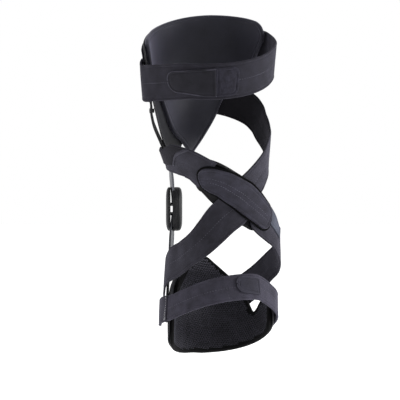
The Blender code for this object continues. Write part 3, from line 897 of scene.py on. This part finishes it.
def add_strap(name, grid, wall, materials, seams=(0.0,), hem=HEM):
    """A strap or tab: a wall on a strap grid, with its seams on both faces."""
    relief = seamed(seams, hem)
    return add_wall(name, grid, wall, materials, outer=relief, inner=relief)


def strap_length(grid):
    return float(grid[1].max())


def add_band(name, rows, width, cloths, ends=(0, 0), tilt=None):
    """A strap under tension: a wall with seams on a strap grid, in place of the part of that
    name, which is hidden.
    """
    grid = strap_grid(rows, width, ends, tilt=tilt)
    band = add_strap(name + "_cloth", grid, STRAP_WALL, cloths)
    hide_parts(name)
    return grid


def sewing_line(grid, wall, across, first=0.008, last=0.992):
    """Points and outward directions along a strap's outer face, at a share of its width
    from one edge to the other, between two shares of its length."""
    points, along, _ = grid
    normal = outward_of(points)
    length = along.max()
    kept = (along[:, 0] >= first * length) & (along[:, 0] <= last * length)
    column = across * (points.shape[1] - 1)
    low = min(int(column), points.shape[1] - 2)
    share = column - low
    line = points[kept, low] * (1 - share) + points[kept, low + 1] * share
    out = normal[kept, low]
    return line + out * (wall - THREAD_SINK), out


def cross_line(grid, wall, place, first=0.06, last=0.94, zigzag=0):
    """Points and outward directions across a strap's outer face at a distance along it, each
    second one by zigzag rows further on."""
    points, along, _ = grid
    row = int(np.abs(along[:, 0] - place).argmin())
    columns = np.arange(int(first * points.shape[1]), int(last * points.shape[1]))
    rows = row + zigzag * (columns % 2)
    out = outward_of(points)[rows, columns]
    return points[rows, columns] + out * (wall - THREAD_SINK), out


def layer_on(
    name, slot, grid, first, last, wall, material, columns=slice(None), skew=(0, 0), hem=0.0018
):
    """A thinner layer sewn on a strap's outer face, between two distances along it. skew: how
    much further along its first and last ends are at the upper edge than at the lower."""
    points, along, across = grid
    raised = points + outward_of(points) * (STRAP_WALL + 0.0001)
    places = np.linspace(0, 1, max(6, int((last - first) / 0.001)))[:, None]
    up = across[len(across) // 2, columns][None]
    up = (up - up.min()) / (up.max() - up.min())
    wanted = (first + skew[0] * up) * (1 - places) + (last + skew[1] * up) * places
    row = np.interp(wanted, along[:, 0], np.arange(len(along)))
    low = np.minimum(row.astype(int), len(along) - 2)
    share = (row - low)[..., None]
    column = np.arange(points.shape[1])[columns][None]
    part = raised[low, column] * (1 - share) + raised[low + 1, column] * share
    made = add_strap(name, (part, wanted, across[low, column]), wall, [material], (), hem)
    return made


def sew(name, lines, thread, pitch=0.0031, size=(0.0023, 0.0006, 0.0005)):
    """Rows of stitches in thread along lines of points. Real ones are about 2.5 mm apart and
    0.3 mm thick: they are drawn longer and twice as thick, so that they show."""
    points, outs, ends = [], [], []
    for line, out in lines:
        ends.append((len(points), len(points) + len(line) - 1))
        points.extend(line)
        outs.extend(out)
    made = repeat_along(name, points, outs, thread, ends, size, pitch=pitch)
    return made


# Polyester thread, a shade paler than the cloth: its rows show as fine dotted lines.
grey_thread = fabric("grey_thread", "#3f3e46", "#55545e", 0.2, 0, 0.0004, 0.02, 0.8, 0.1)
# Brushed loop cloth: a dull, slightly mottled pile over ribs, which are drawn 1.1 mm apart,
# at about twice the real spacing, to show. The thigh strap's copy is darker: painted shade.
loop_cloth = fabric("loop_cloth", "#1d1c20", "#323139", 0.16, 0.0011, 0.0008, 0.012, 0.92, 0.6)
shaded_thigh_cloth = fabric(
    "shaded_thigh_loop_cloth", "#151417", "#26252d", 0.12, 0.0011, 0.0008, 0.012, 0.92, 0.6
)

FOLD_DROP = 0.0048
FOLD_ANGLE = 190
FOLD_SPREAD = 16


def upright_fold(angle, height, lower):
    """The strap's fold over the hinge side hangs straight down, off the tapering thigh."""
    return FOLD_DROP * lower * np.exp(-(((angle - FOLD_ANGLE) / FOLD_SPREAD) ** 2))


thigh_strap_grid = add_band(
    "thigh_strap",
    THIGH_STRAP_ROWS,
    THIGH_STRAP_WIDTH,
    [shaded_thigh_cloth],
    tilt=upright_fold,
)
sew("thigh_strap_seam", [sewing_line(thigh_strap_grid, STRAP_WALL, 0.5)], grey_thread)
# Where the tab has been torn off again and again the loops stand up: rough and patchy.
worn_loop = fabric("worn_loop_cloth", "#141317", "#2c2b35", 0.15, 0, 0.0013, 0.005, 0.95, 0.9)
PATCH_WIDTH = 0.033
PATCH_WALL = 0.0009
PATCH_LIFT = OVER_STRAP - 0.0004
PATCH_ROWS = (
    # angle, height, lift
    (272.5, 0.846, PATCH_LIFT),
    (283, 0.846, PATCH_LIFT),
    (293.6, 0.844, PATCH_LIFT),
)
patch_grid = strap_grid(PATCH_ROWS, PATCH_WIDTH, (0, 0.5), *TAB_STEPS)
patch = add_strap("thigh_strap_loop_patch", patch_grid, PATCH_WALL, [worn_loop], ())

# Calf strap: the same loop cloth, 30 mm wide, from the lower arm round behind the calf. Its
# end is folded back and closed with a white zigzag, and a seam joins it behind the calf.
CALF_STRAP_WIDTH = 0.030
FOLD_WALL = 0.0011
# The fold runs on to here, beside the arm, and the seam is the first place behind the calf.
FOLD_REACH_X = -0.0625
FOLD_LONGEST = 0.05
SEAM_X = 0.003
SEAM_COLUMN = 10
ZIGZAG_FROM_END = 0.004
CALF_STRAP_ROWS = (
    # angle, height, lift
    (180, -0.765, OVER_ARM_STRAP),
    (192, -0.780, OVER_ARM_STRAP),
    (207, -0.790, 0.62 * OVER_ARM_STRAP),
    (224, -0.778, 0.28 * OVER_ARM_STRAP),
    (240, -0.761, 0.10 * OVER_ARM_STRAP),
    (259, -0.742, ON_LEG),
    (278, -0.720, ON_LEG),
    (298, -0.694, ON_LEG),
    (318, -0.672, ON_LEG),
    (334, -0.682, 0.3 * OVER_SHELL),
    (350, -0.700, 0.9 * OVER_SHELL),
    (363, -0.708, 1.15 * OVER_SHELL),
    (378, -0.710, 1.15 * OVER_SHELL),
    (396, -0.714, OVER_SHELL_STRAP),
    (450, -0.740, OVER_SHELL_STRAP),
    (490, -0.760, OVER_SHELL_STRAP),
    (520, -0.775, OVER_SHELL_STRAP),
)
# The calf strap's copy of the loop cloth is the palest of the straps: painted light.
lit_calf_cloth = fabric(
    "lit_calf_loop_cloth", "#222126", "#3c3a45", 0.2, 0.0011, 0.0008, 0.012, 0.92, 0.6
)
calf_strap_grid = add_band(
    "calf_strap", CALF_STRAP_ROWS, CALF_STRAP_WIDTH, [lit_calf_cloth]
)
calf_points, calf_along = calf_strap_grid[0], calf_strap_grid[1][:, 0]
on_hinge_side = (calf_points[:, :, 0].mean(1) < FOLD_REACH_X) & (calf_along < FOLD_LONGEST)
fold_end = float(calf_along[on_hinge_side].max())
# Where the cloth is folded back its creased pile stands open, and it looks a shade paler.
folded_loop = fabric(
    "folded_loop_cloth", "#232227", "#3a3941", 0.2, 0.0011, 0.0008, 0.012, 0.9, 0.6
)
layer_on("calf_strap_fold", "webbing", calf_strap_grid, 0, fold_end, FOLD_WALL, folded_loop)
# Undyed thread: the one bright line on the brace.
white_thread = fabric("white_thread", "#8d8c90", "#b4b3b6", 0.2, 0, 0.0004, 0.02, 0.7, 0.1)
over_fold = STRAP_WALL + FOLD_WALL
zigzag = cross_line(calf_strap_grid, over_fold, fold_end - ZIGZAG_FROM_END, 0.16, 0.86, 1)
sew("calf_strap_zigzag", [zigzag], white_thread, 0.0016, (0.0018, 0.0007, 0.0005))
seam_place = float(calf_along[np.flatnonzero(calf_points[:, SEAM_COLUMN, 0] > SEAM_X)[0]])
calf_lines = [
    sewing_line(calf_strap_grid, STRAP_WALL, 0.5, 0.075),
    cross_line(calf_strap_grid, STRAP_WALL, seam_place),
]
sew("calf_strap_seam", calf_lines, grey_thread)

# Cross straps: two 41 mm bands that cross behind the knee and pull it straight. One comes
# from a loop at the upper arm and goes on, from under the tongue, to the front of the calf
# shell. The other runs from the lower arm up to the front of the thigh shell.
CROSS_STRAP_WIDTH = 0.041
LOOP_WIDTH = 0.023
LOOP_SHARE = LOOP_WIDTH / CROSS_STRAP_WIDTH
BULGE = 0.0075
LOOP_END_X = (-0.0695, -0.0600)
HEM_BAND = 0.0034
LOOP_SLANT = 0.026
HEM_SEAM_FROM_END = 0.004
LOOP_FROM_MIDDLE = -0.004
FULL_ROW = 20  # a row of a strap's grid past its shaped end
CROSS_BACK_ROWS = (
    # angle, height, lift, width
    (174, 0.290, OVER_ARM, LOOP_SHARE),
    (188, 0.300, OVER_ARM, LOOP_SHARE),
    (200, 0.318, 0.9 * OVER_ARM, 0.62),
    (214, 0.350, 0.7 * OVER_ARM, 0.85),
    (226, 0.368, 0.6 * OVER_ARM, 1),
    (238, 0.358, OVER_PAD, 1.04),
    (250, 0.322, OVER_PAD, 1.06),
    (253.5, 0.310, OVER_PAD, 1.06),
)
CROSS_LOWER_ROWS = (
    # angle, height, lift, width
    (172, -0.530, OVER_ARM, 1),
    (186, -0.490, OVER_ARM, 1.04),
    (199, -0.461, 0.8 * OVER_ARM, 1.08),
    (215, -0.450, OVER_PAD, 1.07),
    (232, -0.418, OVER_PAD, 1),
    (241, -0.388, OVER_PAD, 1),
    (256, -0.300, OVER_PAD, 1),
    (272, -0.115, OVER_PAD, 1),
    (290, 0.150, OVER_PAD, 1),
    (308, 0.253, OVER_PAD, 1),
    (325, 0.307, 0.7 * OVER_PAD, 1),
    (346, 0.345, -0.0002, 1),
    (368, 0.362, -0.0008, 1),
    (390, 0.402, 0.0002, 1),
    (404, 0.436, 0.6 * OVER_SHELL, 1),
    (418, 0.466, OVER_SHELL, 1),
    (434, 0.492, OVER_SHELL, 1),
    (460, 0.525, OVER_SHELL, 1),
    (486, 0.560, OVER_SHELL, 1),
)
CROSS_FRONT_ROWS = (
    # angle, height, lift, width
    (306, -0.035, OVER_PAD, 0.85),
    (313, -0.090, OVER_PAD, 1.03),
    (322, -0.145, OVER_PAD + 0.1 * BULGE, 1.1),
    (337, -0.213, OVER_PAD + 0.5 * BULGE, 1.08),
    (346, -0.262, OVER_PAD + 0.9 * BULGE, 1.03),
    (357, -0.290, OVER_PAD + BULGE, 1),
    (372, -0.318, OVER_PAD + 0.9 * BULGE, 1),
    (388, -0.345, OVER_PAD + 0.5 * BULGE, 0.98),
    (402, -0.385, OVER_SHELL, 0.96),
    (422, -0.450, OVER_SHELL, 0.96),
    (445, -0.530, OVER_SHELL, 1),
    (470, -0.640, OVER_SHELL, 1),
)
# Plain lining cloth, without a pile: the dull black inner face of the lower strap.
black_lining = fabric("black_lining", "#0f0e11", "#1b1a1e", 0.1, 0, 0.0008, 0.02, 0.95, 0.5)
cross_grids = {}
for name, rows, ends, rest, inner_cloth, seam_from in (
    ("cross_strap_back", CROSS_BACK_ROWS, (0, 0), "upper_arm", loop_cloth, None),
    ("cross_strap_lower", CROSS_LOWER_ROWS, (0, 0), "thigh_shell", black_lining, 0.5),
    ("cross_strap_front", CROSS_FRONT_ROWS, (0.5, 0), "calf_shell", loop_cloth, 0.5),
):
    grid = add_band(name, rows, CROSS_STRAP_WIDTH, [loop_cloth, inner_cloth], ends)
    if seam_from:
        line = sewing_line(grid, STRAP_WALL, seam_from, 0.03)
        sew(name + "_seam", [line], grey_thread)
    cross_grids[name] = grid
back_grid = cross_grids["cross_strap_back"]
back_x = back_grid[0][:, :, 0].mean(1)
near, bend = (float(back_grid[1][np.flatnonzero(back_x > x)[0], 0]) for x in LOOP_END_X)
upper_part = np.flatnonzero(back_grid[2][FULL_ROW] > LOOP_FROM_MIDDLE)
for name, first, last, cloth, skew in (
    ("cross_strap_loop", near, bend, black_lining, (0, LOOP_SLANT)),
    ("cross_strap_hem", bend, bend + HEM_BAND, folded_loop, (LOOP_SLANT, LOOP_SLANT)),
):
    layer_on(name, "webbing", back_grid, first, last, FOLD_WALL, cloth, upper_part, skew)
hem_place = strap_length(back_grid) - HEM_SEAM_FROM_END
hem_line = cross_line(back_grid, STRAP_WALL, hem_place, 0.05, 0.95)
sew("cross_strap_hem_seam", [hem_line], grey_thread)

# Tongue: the rounded end of the upper cross strap, hook cloth faced with loop cloth. It
# closes the crossing from the outside, and rows of thread run along it and round its edge.
KEEPER_WIDTH = 0.033
# The hook layer is this much wider than the tongue: its black rim round the tongue is a painted
# shadow.
HOOK_SHADOW_MARGIN = 0.0044
HOOK_WALL = 0.0011
HOOK_DROP = 0.0005
# The hook layer reaches past the cloth, by these steps round and along the leg at its ends, where
# its black rim is a painted shadow.
HOOK_SHADOW_MORE = 2.0
HOOK_SHADOW_MORE_UP = 0.008
TONGUE_HEM = 0.0034
TONGUE_SEAMS = (-0.0016, 0.0016)
KEEPER_ROWS = (
    # angle, height, lift
    (245, 0.282, OVER_CROSSING),
    (257, 0.290, OVER_CROSSING),
    (269, 0.272, OVER_CROSSING),
    (289, 0.174, OVER_CROSSING),
    (300, 0.060, OVER_CROSSING),
    (314, -0.062, OVER_CROSSING),
    (328, -0.145, OVER_CROSSING + 0.2 * BULGE),
)
# Loop cloth laminated on hook tape: flatter and smoother than the straps.
tab_cloth = fabric("tab_cloth", "#1d1c20", "#32313b", 0.18, 0.0010, 0.0007, 0.010, 0.9, 0.5)
keeper_grid = strap_grid(KEEPER_ROWS, KEEPER_WIDTH, (0.95, 0.7), 0.0016)
keeper = add_strap(
    "cross_tongue_cloth", keeper_grid, STRAP_WALL, [tab_cloth], TONGUE_SEAMS, TONGUE_HEM
)
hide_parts("cross_keeper")
hook_shadow_rows = [(angle, height, lift - HOOK_DROP) for angle, height, lift in KEEPER_ROWS]
hook_shadow_rows[0] = (hook_shadow_rows[0][0] - HOOK_SHADOW_MORE, *hook_shadow_rows[0][1:])
angle, height, lift = hook_shadow_rows[-1]
hook_shadow_rows[-1] = (angle + HOOK_SHADOW_MORE, height - HOOK_SHADOW_MORE_UP, lift)
hook_shadow_grid = strap_grid(hook_shadow_rows, KEEPER_WIDTH + HOOK_SHADOW_MARGIN, (0.95, 0.75), 0.002, 0.002)
# Hook tape under the tongue, dead black: where it shows round the tongue's edge it is a painted
# shadow.
hook_tape_and_shadow = fabric("hook_tape_and_shadow", "#050506", "#0b0b0c", 0.0, 0, 0.0008, 0.02, 0.95, 0.6, 0.05)
hook_and_shadow_layer = add_strap("cross_tongue_hook_shadow", hook_shadow_grid, HOOK_WALL, [hook_tape_and_shadow], ())
KEEPER_SEAMS = (
    # share of the width, and from where to where along it
    (0.45, 0.1, 0.92),
    (0.55, 0.1, 0.92),
    (0.085, 0.02, 0.98),
    (0.915, 0.02, 0.98),
)
keeper_lines = [sewing_line(keeper_grid, STRAP_WALL, *seam) for seam in KEEPER_SEAMS]
sew("cross_tongue_seams", keeper_lines, grey_thread)

# Knee pad: soft foam in a cover of grained black leathercloth, sewn 4 mm in from its edge.
# It lies under the crossing, against the hollow of the knee, and keeps the straps off it.
POPLITEAL_PAD_WIDTH = 0.047
POPLITEAL_PAD_ROWS = (
    # angle, height, lift
    (240, 0.312, CLEARANCE),
    (252, 0.298, CLEARANCE),
    (273, 0.215, CLEARANCE),
    (301, 0.005, CLEARANCE),
    (325, -0.130, CLEARANCE),
)
PUFF = 0.0008
PAD_SEAM = 0.004


def puffed(along, across, rim):
    """Foam pushing out inside the seam."""
    return PUFF * (1 - np.exp(-rim / PAD_SEAM)) + groove(rim, PAD_SEAM, 0.0008, 0.0007)


# Leathercloth: an embossed grain, drawn at 1.4 mm to show, with a weak gloss on its tops.
pad_leather = moulded("grained_leathercloth", "#08080a", "#0f0f11", 0.0014, 0.55, 0.5, 0.12)
knee_pad = add_wall(
    "knee_pad_cover",
    strap_grid(POPLITEAL_PAD_ROWS, POPLITEAL_PAD_WIDTH, (0.3, 0.7), 0.002, 0.002),
    PAD_WALL - PUFF,
    [pad_leather],
    outer=puffed,
)
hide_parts("popliteal_pad")

# Closing tabs: short hook tabs at the ends of the thigh and calf straps, with a stitched
# border, and a blue-grey pull tab on the right flank.
THIGH_TAB_WIDTH = 0.026
CALF_TAB_WIDTH = 0.019
TAB_HEM = 0.0029
THIGH_TAB_ROWS = (
    # angle, height, lift, width
    (228, 0.820, OVER_STRAP, 0.9),
    (243, 0.835, OVER_STRAP, 1.02),
    (258, 0.843, OVER_STRAP, 1.18),
    (273, 0.846, OVER_STRAP, 1.27),
)
CALF_TAB_ROWS = (
    # angle, height, lift
    (286, -0.689, OVER_STRAP),
    (300, -0.683, OVER_STRAP),
    (316, -0.672, OVER_STRAP),
)
# Overlocked edge: a raised cord of thread, paler than the cloth inside it. The thigh tab's
# cloth is a darker copy of the tab cloth, as dark as its strap's: painted shade.
overlock_thread = fabric("overlock_thread", "#26252b", "#3b3a44", 0.2, 0, 0.0006, 0.01, 0.9, 0.3)
thigh_tab_cloth = fabric(
    "thigh_tab_cloth", "#121215", "#201f25", 0.12, 0.0010, 0.0007, 0.010, 0.9, 0.5
)
for name, rows, width, ends, cloth in (
    ("thigh_tab", THIGH_TAB_ROWS, THIGH_TAB_WIDTH, (0.85, 0), thigh_tab_cloth),
    ("calf_tab", CALF_TAB_ROWS, CALF_TAB_WIDTH, (0.9, 0), tab_cloth),
):
    grid = strap_grid(rows, width, ends, *TAB_STEPS)
    tab = add_strap(name + "_cloth", grid, TAB_WALL, [cloth], (), TAB_HEM)
    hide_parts(name)
    border = [sewing_line(grid, TAB_WALL, share, 0.0, 0.99) for share in (0.1, 0.9)]
    sew(name + "_border", border, overlock_thread, 0.0010, (0.0026, 0.0017, 0.0008))
# Blue-grey loop cloth, paler and cooler than the strap that it is sewn on.
blue_grey = fabric("blue_grey_loop_cloth", "#32353c", "#454954", 0.25, 0, 0.0007, 0.012, 0.9, 0.4)
SIDE_TAB_SPAN = (0.018, 0.052)
SIDE_TAB_WALL = 0.0009
SIDE_TAB_FROM_MIDDLE = 0.0012
SIDE_TAB_HEM = 0.003
front_grid = cross_grids["cross_strap_front"]
upper_half = np.flatnonzero(front_grid[2][FULL_ROW] > SIDE_TAB_FROM_MIDDLE)
side_tab = layer_on(
    "side_tab_cloth",
    "hook_tab",
    front_grid,
    *SIDE_TAB_SPAN,
    SIDE_TAB_WALL,
    blue_grey,
    upper_half,
    hem=SIDE_TAB_HEM,
)
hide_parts("side_tab")

# Arms: two flat strips of aluminium, 16 mm wide and 2.5 mm thick, with rounded ends and
# broken edges. Each pivots on a hinge pin and is riveted to its shell, and is powder-coated
# black except next to the hinge.
ARM_WIDTH = 0.016
BARE_LENGTH = 0.056
TWIST_DEPTH = 0.0034
TWIST_HEIGHT = 0.034
TWIST_SPREAD = 0.022
ARM_STANDOFF = 0.0034
ARM_FINE = (0, 0.1, 0.25, 0.45, 0.8, 1.4)
HINGE_LIFT = 0.0088
UPPER_ARM_ROWS = (
    # angle, height, lift
    (180, 0.022, HINGE_LIFT),
    (180, 0.100, HINGE_LIFT),
    (182, 0.300, OVER_SHELL),
    (184, 0.400, OVER_SHELL + 0.25 * ARM_STANDOFF),
    (184, 0.500, OVER_SHELL + ARM_STANDOFF),
    (184, 0.550, OVER_SHELL + 0.9 * ARM_STANDOFF),
    (184, 0.610, OVER_SHELL + 0.2 * ARM_STANDOFF),
    (183, 0.670, OVER_SHELL),
)
LOWER_ARM_ROWS = (
    # angle, height, lift
    (180, -0.028, HINGE_LIFT),
    (180, -0.120, HINGE_LIFT),
    (180, -0.400, OVER_SHELL),
    (178, -0.825, OVER_SHELL),
)


def satin_metal(name, colour, roughness):
    """Metal with a fine blasted grain, drawn at about 1 mm to show, which spreads its
    reflections into a satin glow."""
    made, tree, shader = new_material(
        name, {"Base Color": linear(colour), "Metallic": 1.0, "Roughness": roughness}
    )
    place = add_node(tree, "ShaderNodeTexCoord").outputs["Object"]
    grain = add_node(tree, "ShaderNodeTexNoise", {"Vector": place, "Scale": 900.0, "Detail": 3.0})
    bump = add_node(
        tree,
        "ShaderNodeBump",
        {"Height": grain.outputs["Fac"], "Strength": 0.08, "Distance": 0.0003},
    )
    tree.links.new(bump.outputs[0], shader.inputs["Normal"])
    return made


def twist(angle, height, forward):
    """Between hinge and shell the arms are twisted a little, their faces turned back."""
    off = (np.abs(height) - TWIST_HEIGHT) / TWIST_SPREAD
    return -TWIST_DEPTH * (forward - 0.5) * np.exp(-(off**2))


# Satin anodised aluminium: a grey glow with no mirror edge. Powder coat: an even soft black
# without any metal glint.
arm_metal = satin_metal("anodised_aluminium", "#5a5b60", 0.45)
powder_coat = moulded("black_powder_coat", "#131315", "#1b1b1d", 0.0005, 0.6, 0.1, 0.15)
for name, rows in (("upper_arm", UPPER_ARM_ROWS), ("lower_arm", LOWER_ARM_ROWS)):
    arm = add_wall(
        name + "_strip",
        strap_grid(rows, ARM_WIDTH, (0.9, 0.9), 0.003, 0.002, ARM_FINE, twist),
        ARM_WALL,
        [arm_metal],
        rounding=0.22,
    )
    arm.data.materials.append(powder_coat)
    flat = arm.data.uv_layers["flat"].data
    for face in arm.data.polygons:
        gone = sum(flat[i].uv.x for i in face.loop_indices) / face.loop_total
        face.material_index = int(gone > BARE_LENGTH)
    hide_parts(name)

# Hinge: a padded condyle plate on the knee side and a slim moulded cover on the outer side,
# both with round ends and a crowned face. The arms lie in a recess of the plate, and two
# steel pins carry them.
HINGE_HEIGHT = 0.051
HINGE_DEPTH = 0.032
PIN_GAP = 0.0016
ARM_FACE = KNEE_SIZE[0] / 2 + HINGE_LIFT
COVER_FACE = ARM_FACE + ARM_WALL + PIN_GAP
OUTER_WALL = 0.0050
INNER_WALL = 0.0092
OUTLINE_STEPS = 28
OUTER_PROFILE = (
    # inset, depth, in millimetres
    (15.6, 0.0), (12, 0.05), (9, 0.15), (6, 0.4), (4, 0.75), (2.5, 1.25), (1.3, 1.85),
    (0.55, 2.45), (0.15, 3.0), (0.0, 3.3), (0.4, 3.45), (0.4, 3.6), (0.1, 3.75),
    (0.1, 4.5), (0.3, 4.85), (0.7, 5.0), (8, 5.0), (15.6, 5.0),
)
INNER_PROFILE = (
    # inset, depth, in millimetres
    (15.6, 0.0), (12, 0.05), (8, 0.2), (5, 0.6), (3, 1.15), (1.6, 1.9), (0.7, 2.8),
    (0.2, 3.6), (0.0, 4.2), (0.5, 4.4), (0.5, 4.6), (0.05, 4.8), (0.05, 10.3), (0.3, 10.7),
    (0.7, 10.9), (8, 10.9), (15.6, 10.9),
)
GRIP_ROWS = 12
GRIP_COLUMNS = 3
GRIP_PITCH = 0.0013
GRIP_SINK = 0.00005
GRIP_BUMP = (0.0007, 0.0007, 0.0005)


def crowned_plate(name, face, way, profile, materials, split):
    """A plate with round ends across X. profile: from the middle of its face over its edge to
    the middle of its back. split: the first ring that has the last material."""
    turns = np.linspace(0, math.pi, OUTLINE_STEPS)
    verts = []
    for inset, deep in profile:
        radius = HINGE_DEPTH / 2 - inset * MILLIMETRE
        for side in (1, -1):
            for turn in turns:
                flank = side * radius * math.cos(turn)
                rise = side * ((HINGE_HEIGHT - HINGE_DEPTH) / 2 + radius * math.sin(turn))
                verts.append((face + way * deep * MILLIMETRE, flank, rise))
    count = 2 * OUTLINE_STEPS
    faces = [tuple(range(count)), tuple(range(len(verts) - 1, len(verts) - count - 1, -1))]
    slots = [0, len(materials) - 1]
    for ring in range(len(profile) - 1):
        for i in range(count):
            j = (i + 1) % count
            base = ring * count
            faces.append((base + j, base + i, base + count + i, base + count + j))
            slots.append(int(ring >= split) * (len(materials) - 1))
    mesh = bpy.data.meshes.new(name)
    mesh.from_pydata(verts, [], faces)
    for made in materials:
        mesh.materials.append(made)
    mesh.polygons.foreach_set("material_index", slots)
    bm = bmesh.new()
    bm.from_mesh(mesh)
    bmesh.ops.recalc_face_normals(bm, faces=bm.faces[:])
    bm.to_mesh(mesh)
    bm.free()
    mesh.shade_smooth()
    made = link_object(name, mesh)
    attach(made, "root")
    return made


# Glass-filled nylon from a grained mould: near black, with a low gloss that shows the crown
# of each cover. The part round the gap is darker: painted shade for the recess there.
grained_nylon = moulded("grained_nylon", "#141517", "#1d1d20", 0.0007, 0.5, 0.12, 0.22)
recess_shade_nylon = moulded("recess_shade_nylon", "#101012", "#18181b", 0.0007, 0.5, 0.2, 0.2)
pad_face = -ARM_FACE + LAYER_GAP
for name, node, face, way, profile, split in (
    ("hinge_outer_moulding", "hinge_outer_cover", -COVER_FACE - OUTER_WALL, 1, OUTER_PROFILE, 10),
    ("hinge_condyle_pad", "hinge_inner_pad", pad_face + INNER_WALL, -1, INNER_PROFILE, 9),
):
    cover = crowned_plate(name, face, way, profile, [grained_nylon, recess_shade_nylon], split)
    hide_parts(node)
bump_points, bump_outs = [], []
for side in (1, -1):
    for row in range(GRIP_ROWS):
        for column in range(GRIP_COLUMNS):
            across = pad_face + (0.2 + column + 0.5 * (row % 2)) * MILLIMETRE
            up = (row - (GRIP_ROWS - 1) / 2) * GRIP_PITCH
            bump_points.append((across, side * (HINGE_DEPTH / 2 - GRIP_SINK), up))
            bump_outs.append((0, side, 0))
grip = repeat_along(
    "hinge_grip_bumps",
    bump_points,
    bump_outs,
    grained_nylon,
    [],
    GRIP_BUMP,
    along=[(1, 0, 0)] * len(bump_points),
)

# Hinge pins and rivets: turned steel. The pins join arm and cover. The rivets go through
# each arm into its shell, and have low domed heads, blackened so that they don't shine.
STEPS_ROUND = 32
PIN_SPACING = 0.011
PIN_PROFILE = (
    # radius, distance from the top
    (0.0002, 0), (0.0018, 0), (0.0020, 0.0002), (0.0020, 0.02), (0.0002, 0.02),
)
RIVET_PROFILE = (
    # radius, distance from the top
    (0.0002, 0), (0.0012, 0.00004), (0.0021, 0.00018), (0.0027, 0.00042),
    (0.0030, 0.00078), (0.0024, 0.0008), (0.0024, 0.02), (0.0002, 0.02),
)
RIVET_SHARES = (0.85, 0.94)


def turned(name, base, top, profile, material):
    """A turned piece from base towards top."""
    base, top = Vector(base), Vector(top)
    axis = (top - base).normalized()
    frame_of = axis.to_track_quat("Z", "Y").to_matrix()
    length = (top - base).length
    bm = bmesh.new()
    rings = []
    for radius, below in profile:
        middle = top - axis * min(below, length)
        turns = [2 * math.pi * i / STEPS_ROUND for i in range(STEPS_ROUND)]
        rings.append(
            [
                bm.verts.new(middle + frame_of @ Vector((math.cos(t), math.sin(t), 0)) * radius)
                for t in turns
            ]
        )
    bm.faces.new(rings[0])
    bm.faces.new(rings[-1][::-1])
    for ring, after in zip(rings, rings[1:]):
        for i in range(STEPS_ROUND):
            j = (i + 1) % STEPS_ROUND
            bm.faces.new((ring[i], after[i], after[j], ring[j]))
    bmesh.ops.recalc_face_normals(bm, faces=bm.faces[:])
    mesh = bpy.data.meshes.new(name)
    bm.to_mesh(mesh)
    bm.free()
    mesh.materials.append(material)
    mesh.shade_smooth()
    made = link_object(name, mesh)
    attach(made, "root")
    return made


# Turned steel: bright, with a sharper glint than the arms. Blackened steel: dull and dark.
pin_steel = satin_metal("turned_steel", "#7b7c80", 0.3)
rivet_black = satin_metal("blackened_steel", "#2a2a2d", 0.5)
for name, height in (("upper", PIN_SPACING / 2), ("lower", -PIN_SPACING / 2)):
    base, top = ((-face + CLEARANCE, 0, height) for face in (ARM_FACE, COVER_FACE))
    pin = turned(f"hinge_pin_{name}_turned", base, top, PIN_PROFILE, pin_steel)
    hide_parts(f"hinge_pin_{name}")
for name, rows in (("upper", UPPER_ARM_ROWS), ("lower", LOWER_ARM_ROWS)):
    path = StrapPath(rows)
    for number, share in enumerate(RIVET_SHARES, 1):
        angle, height, lift, _ = path.at(np.array([share * path.length]))[2][0]
        base, top = (
            leg_point(np.array(angle), np.array(height), np.array(off))
            for off in (OVER_SHELL, lift + ARM_WALL + RIVET_HEIGHT)
        )
        node = f"{name}_arm_rivet_{number}"
        rivet = turned(node + "_turned", base, top, RIVET_PROFILE, rivet_black)
        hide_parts(node)
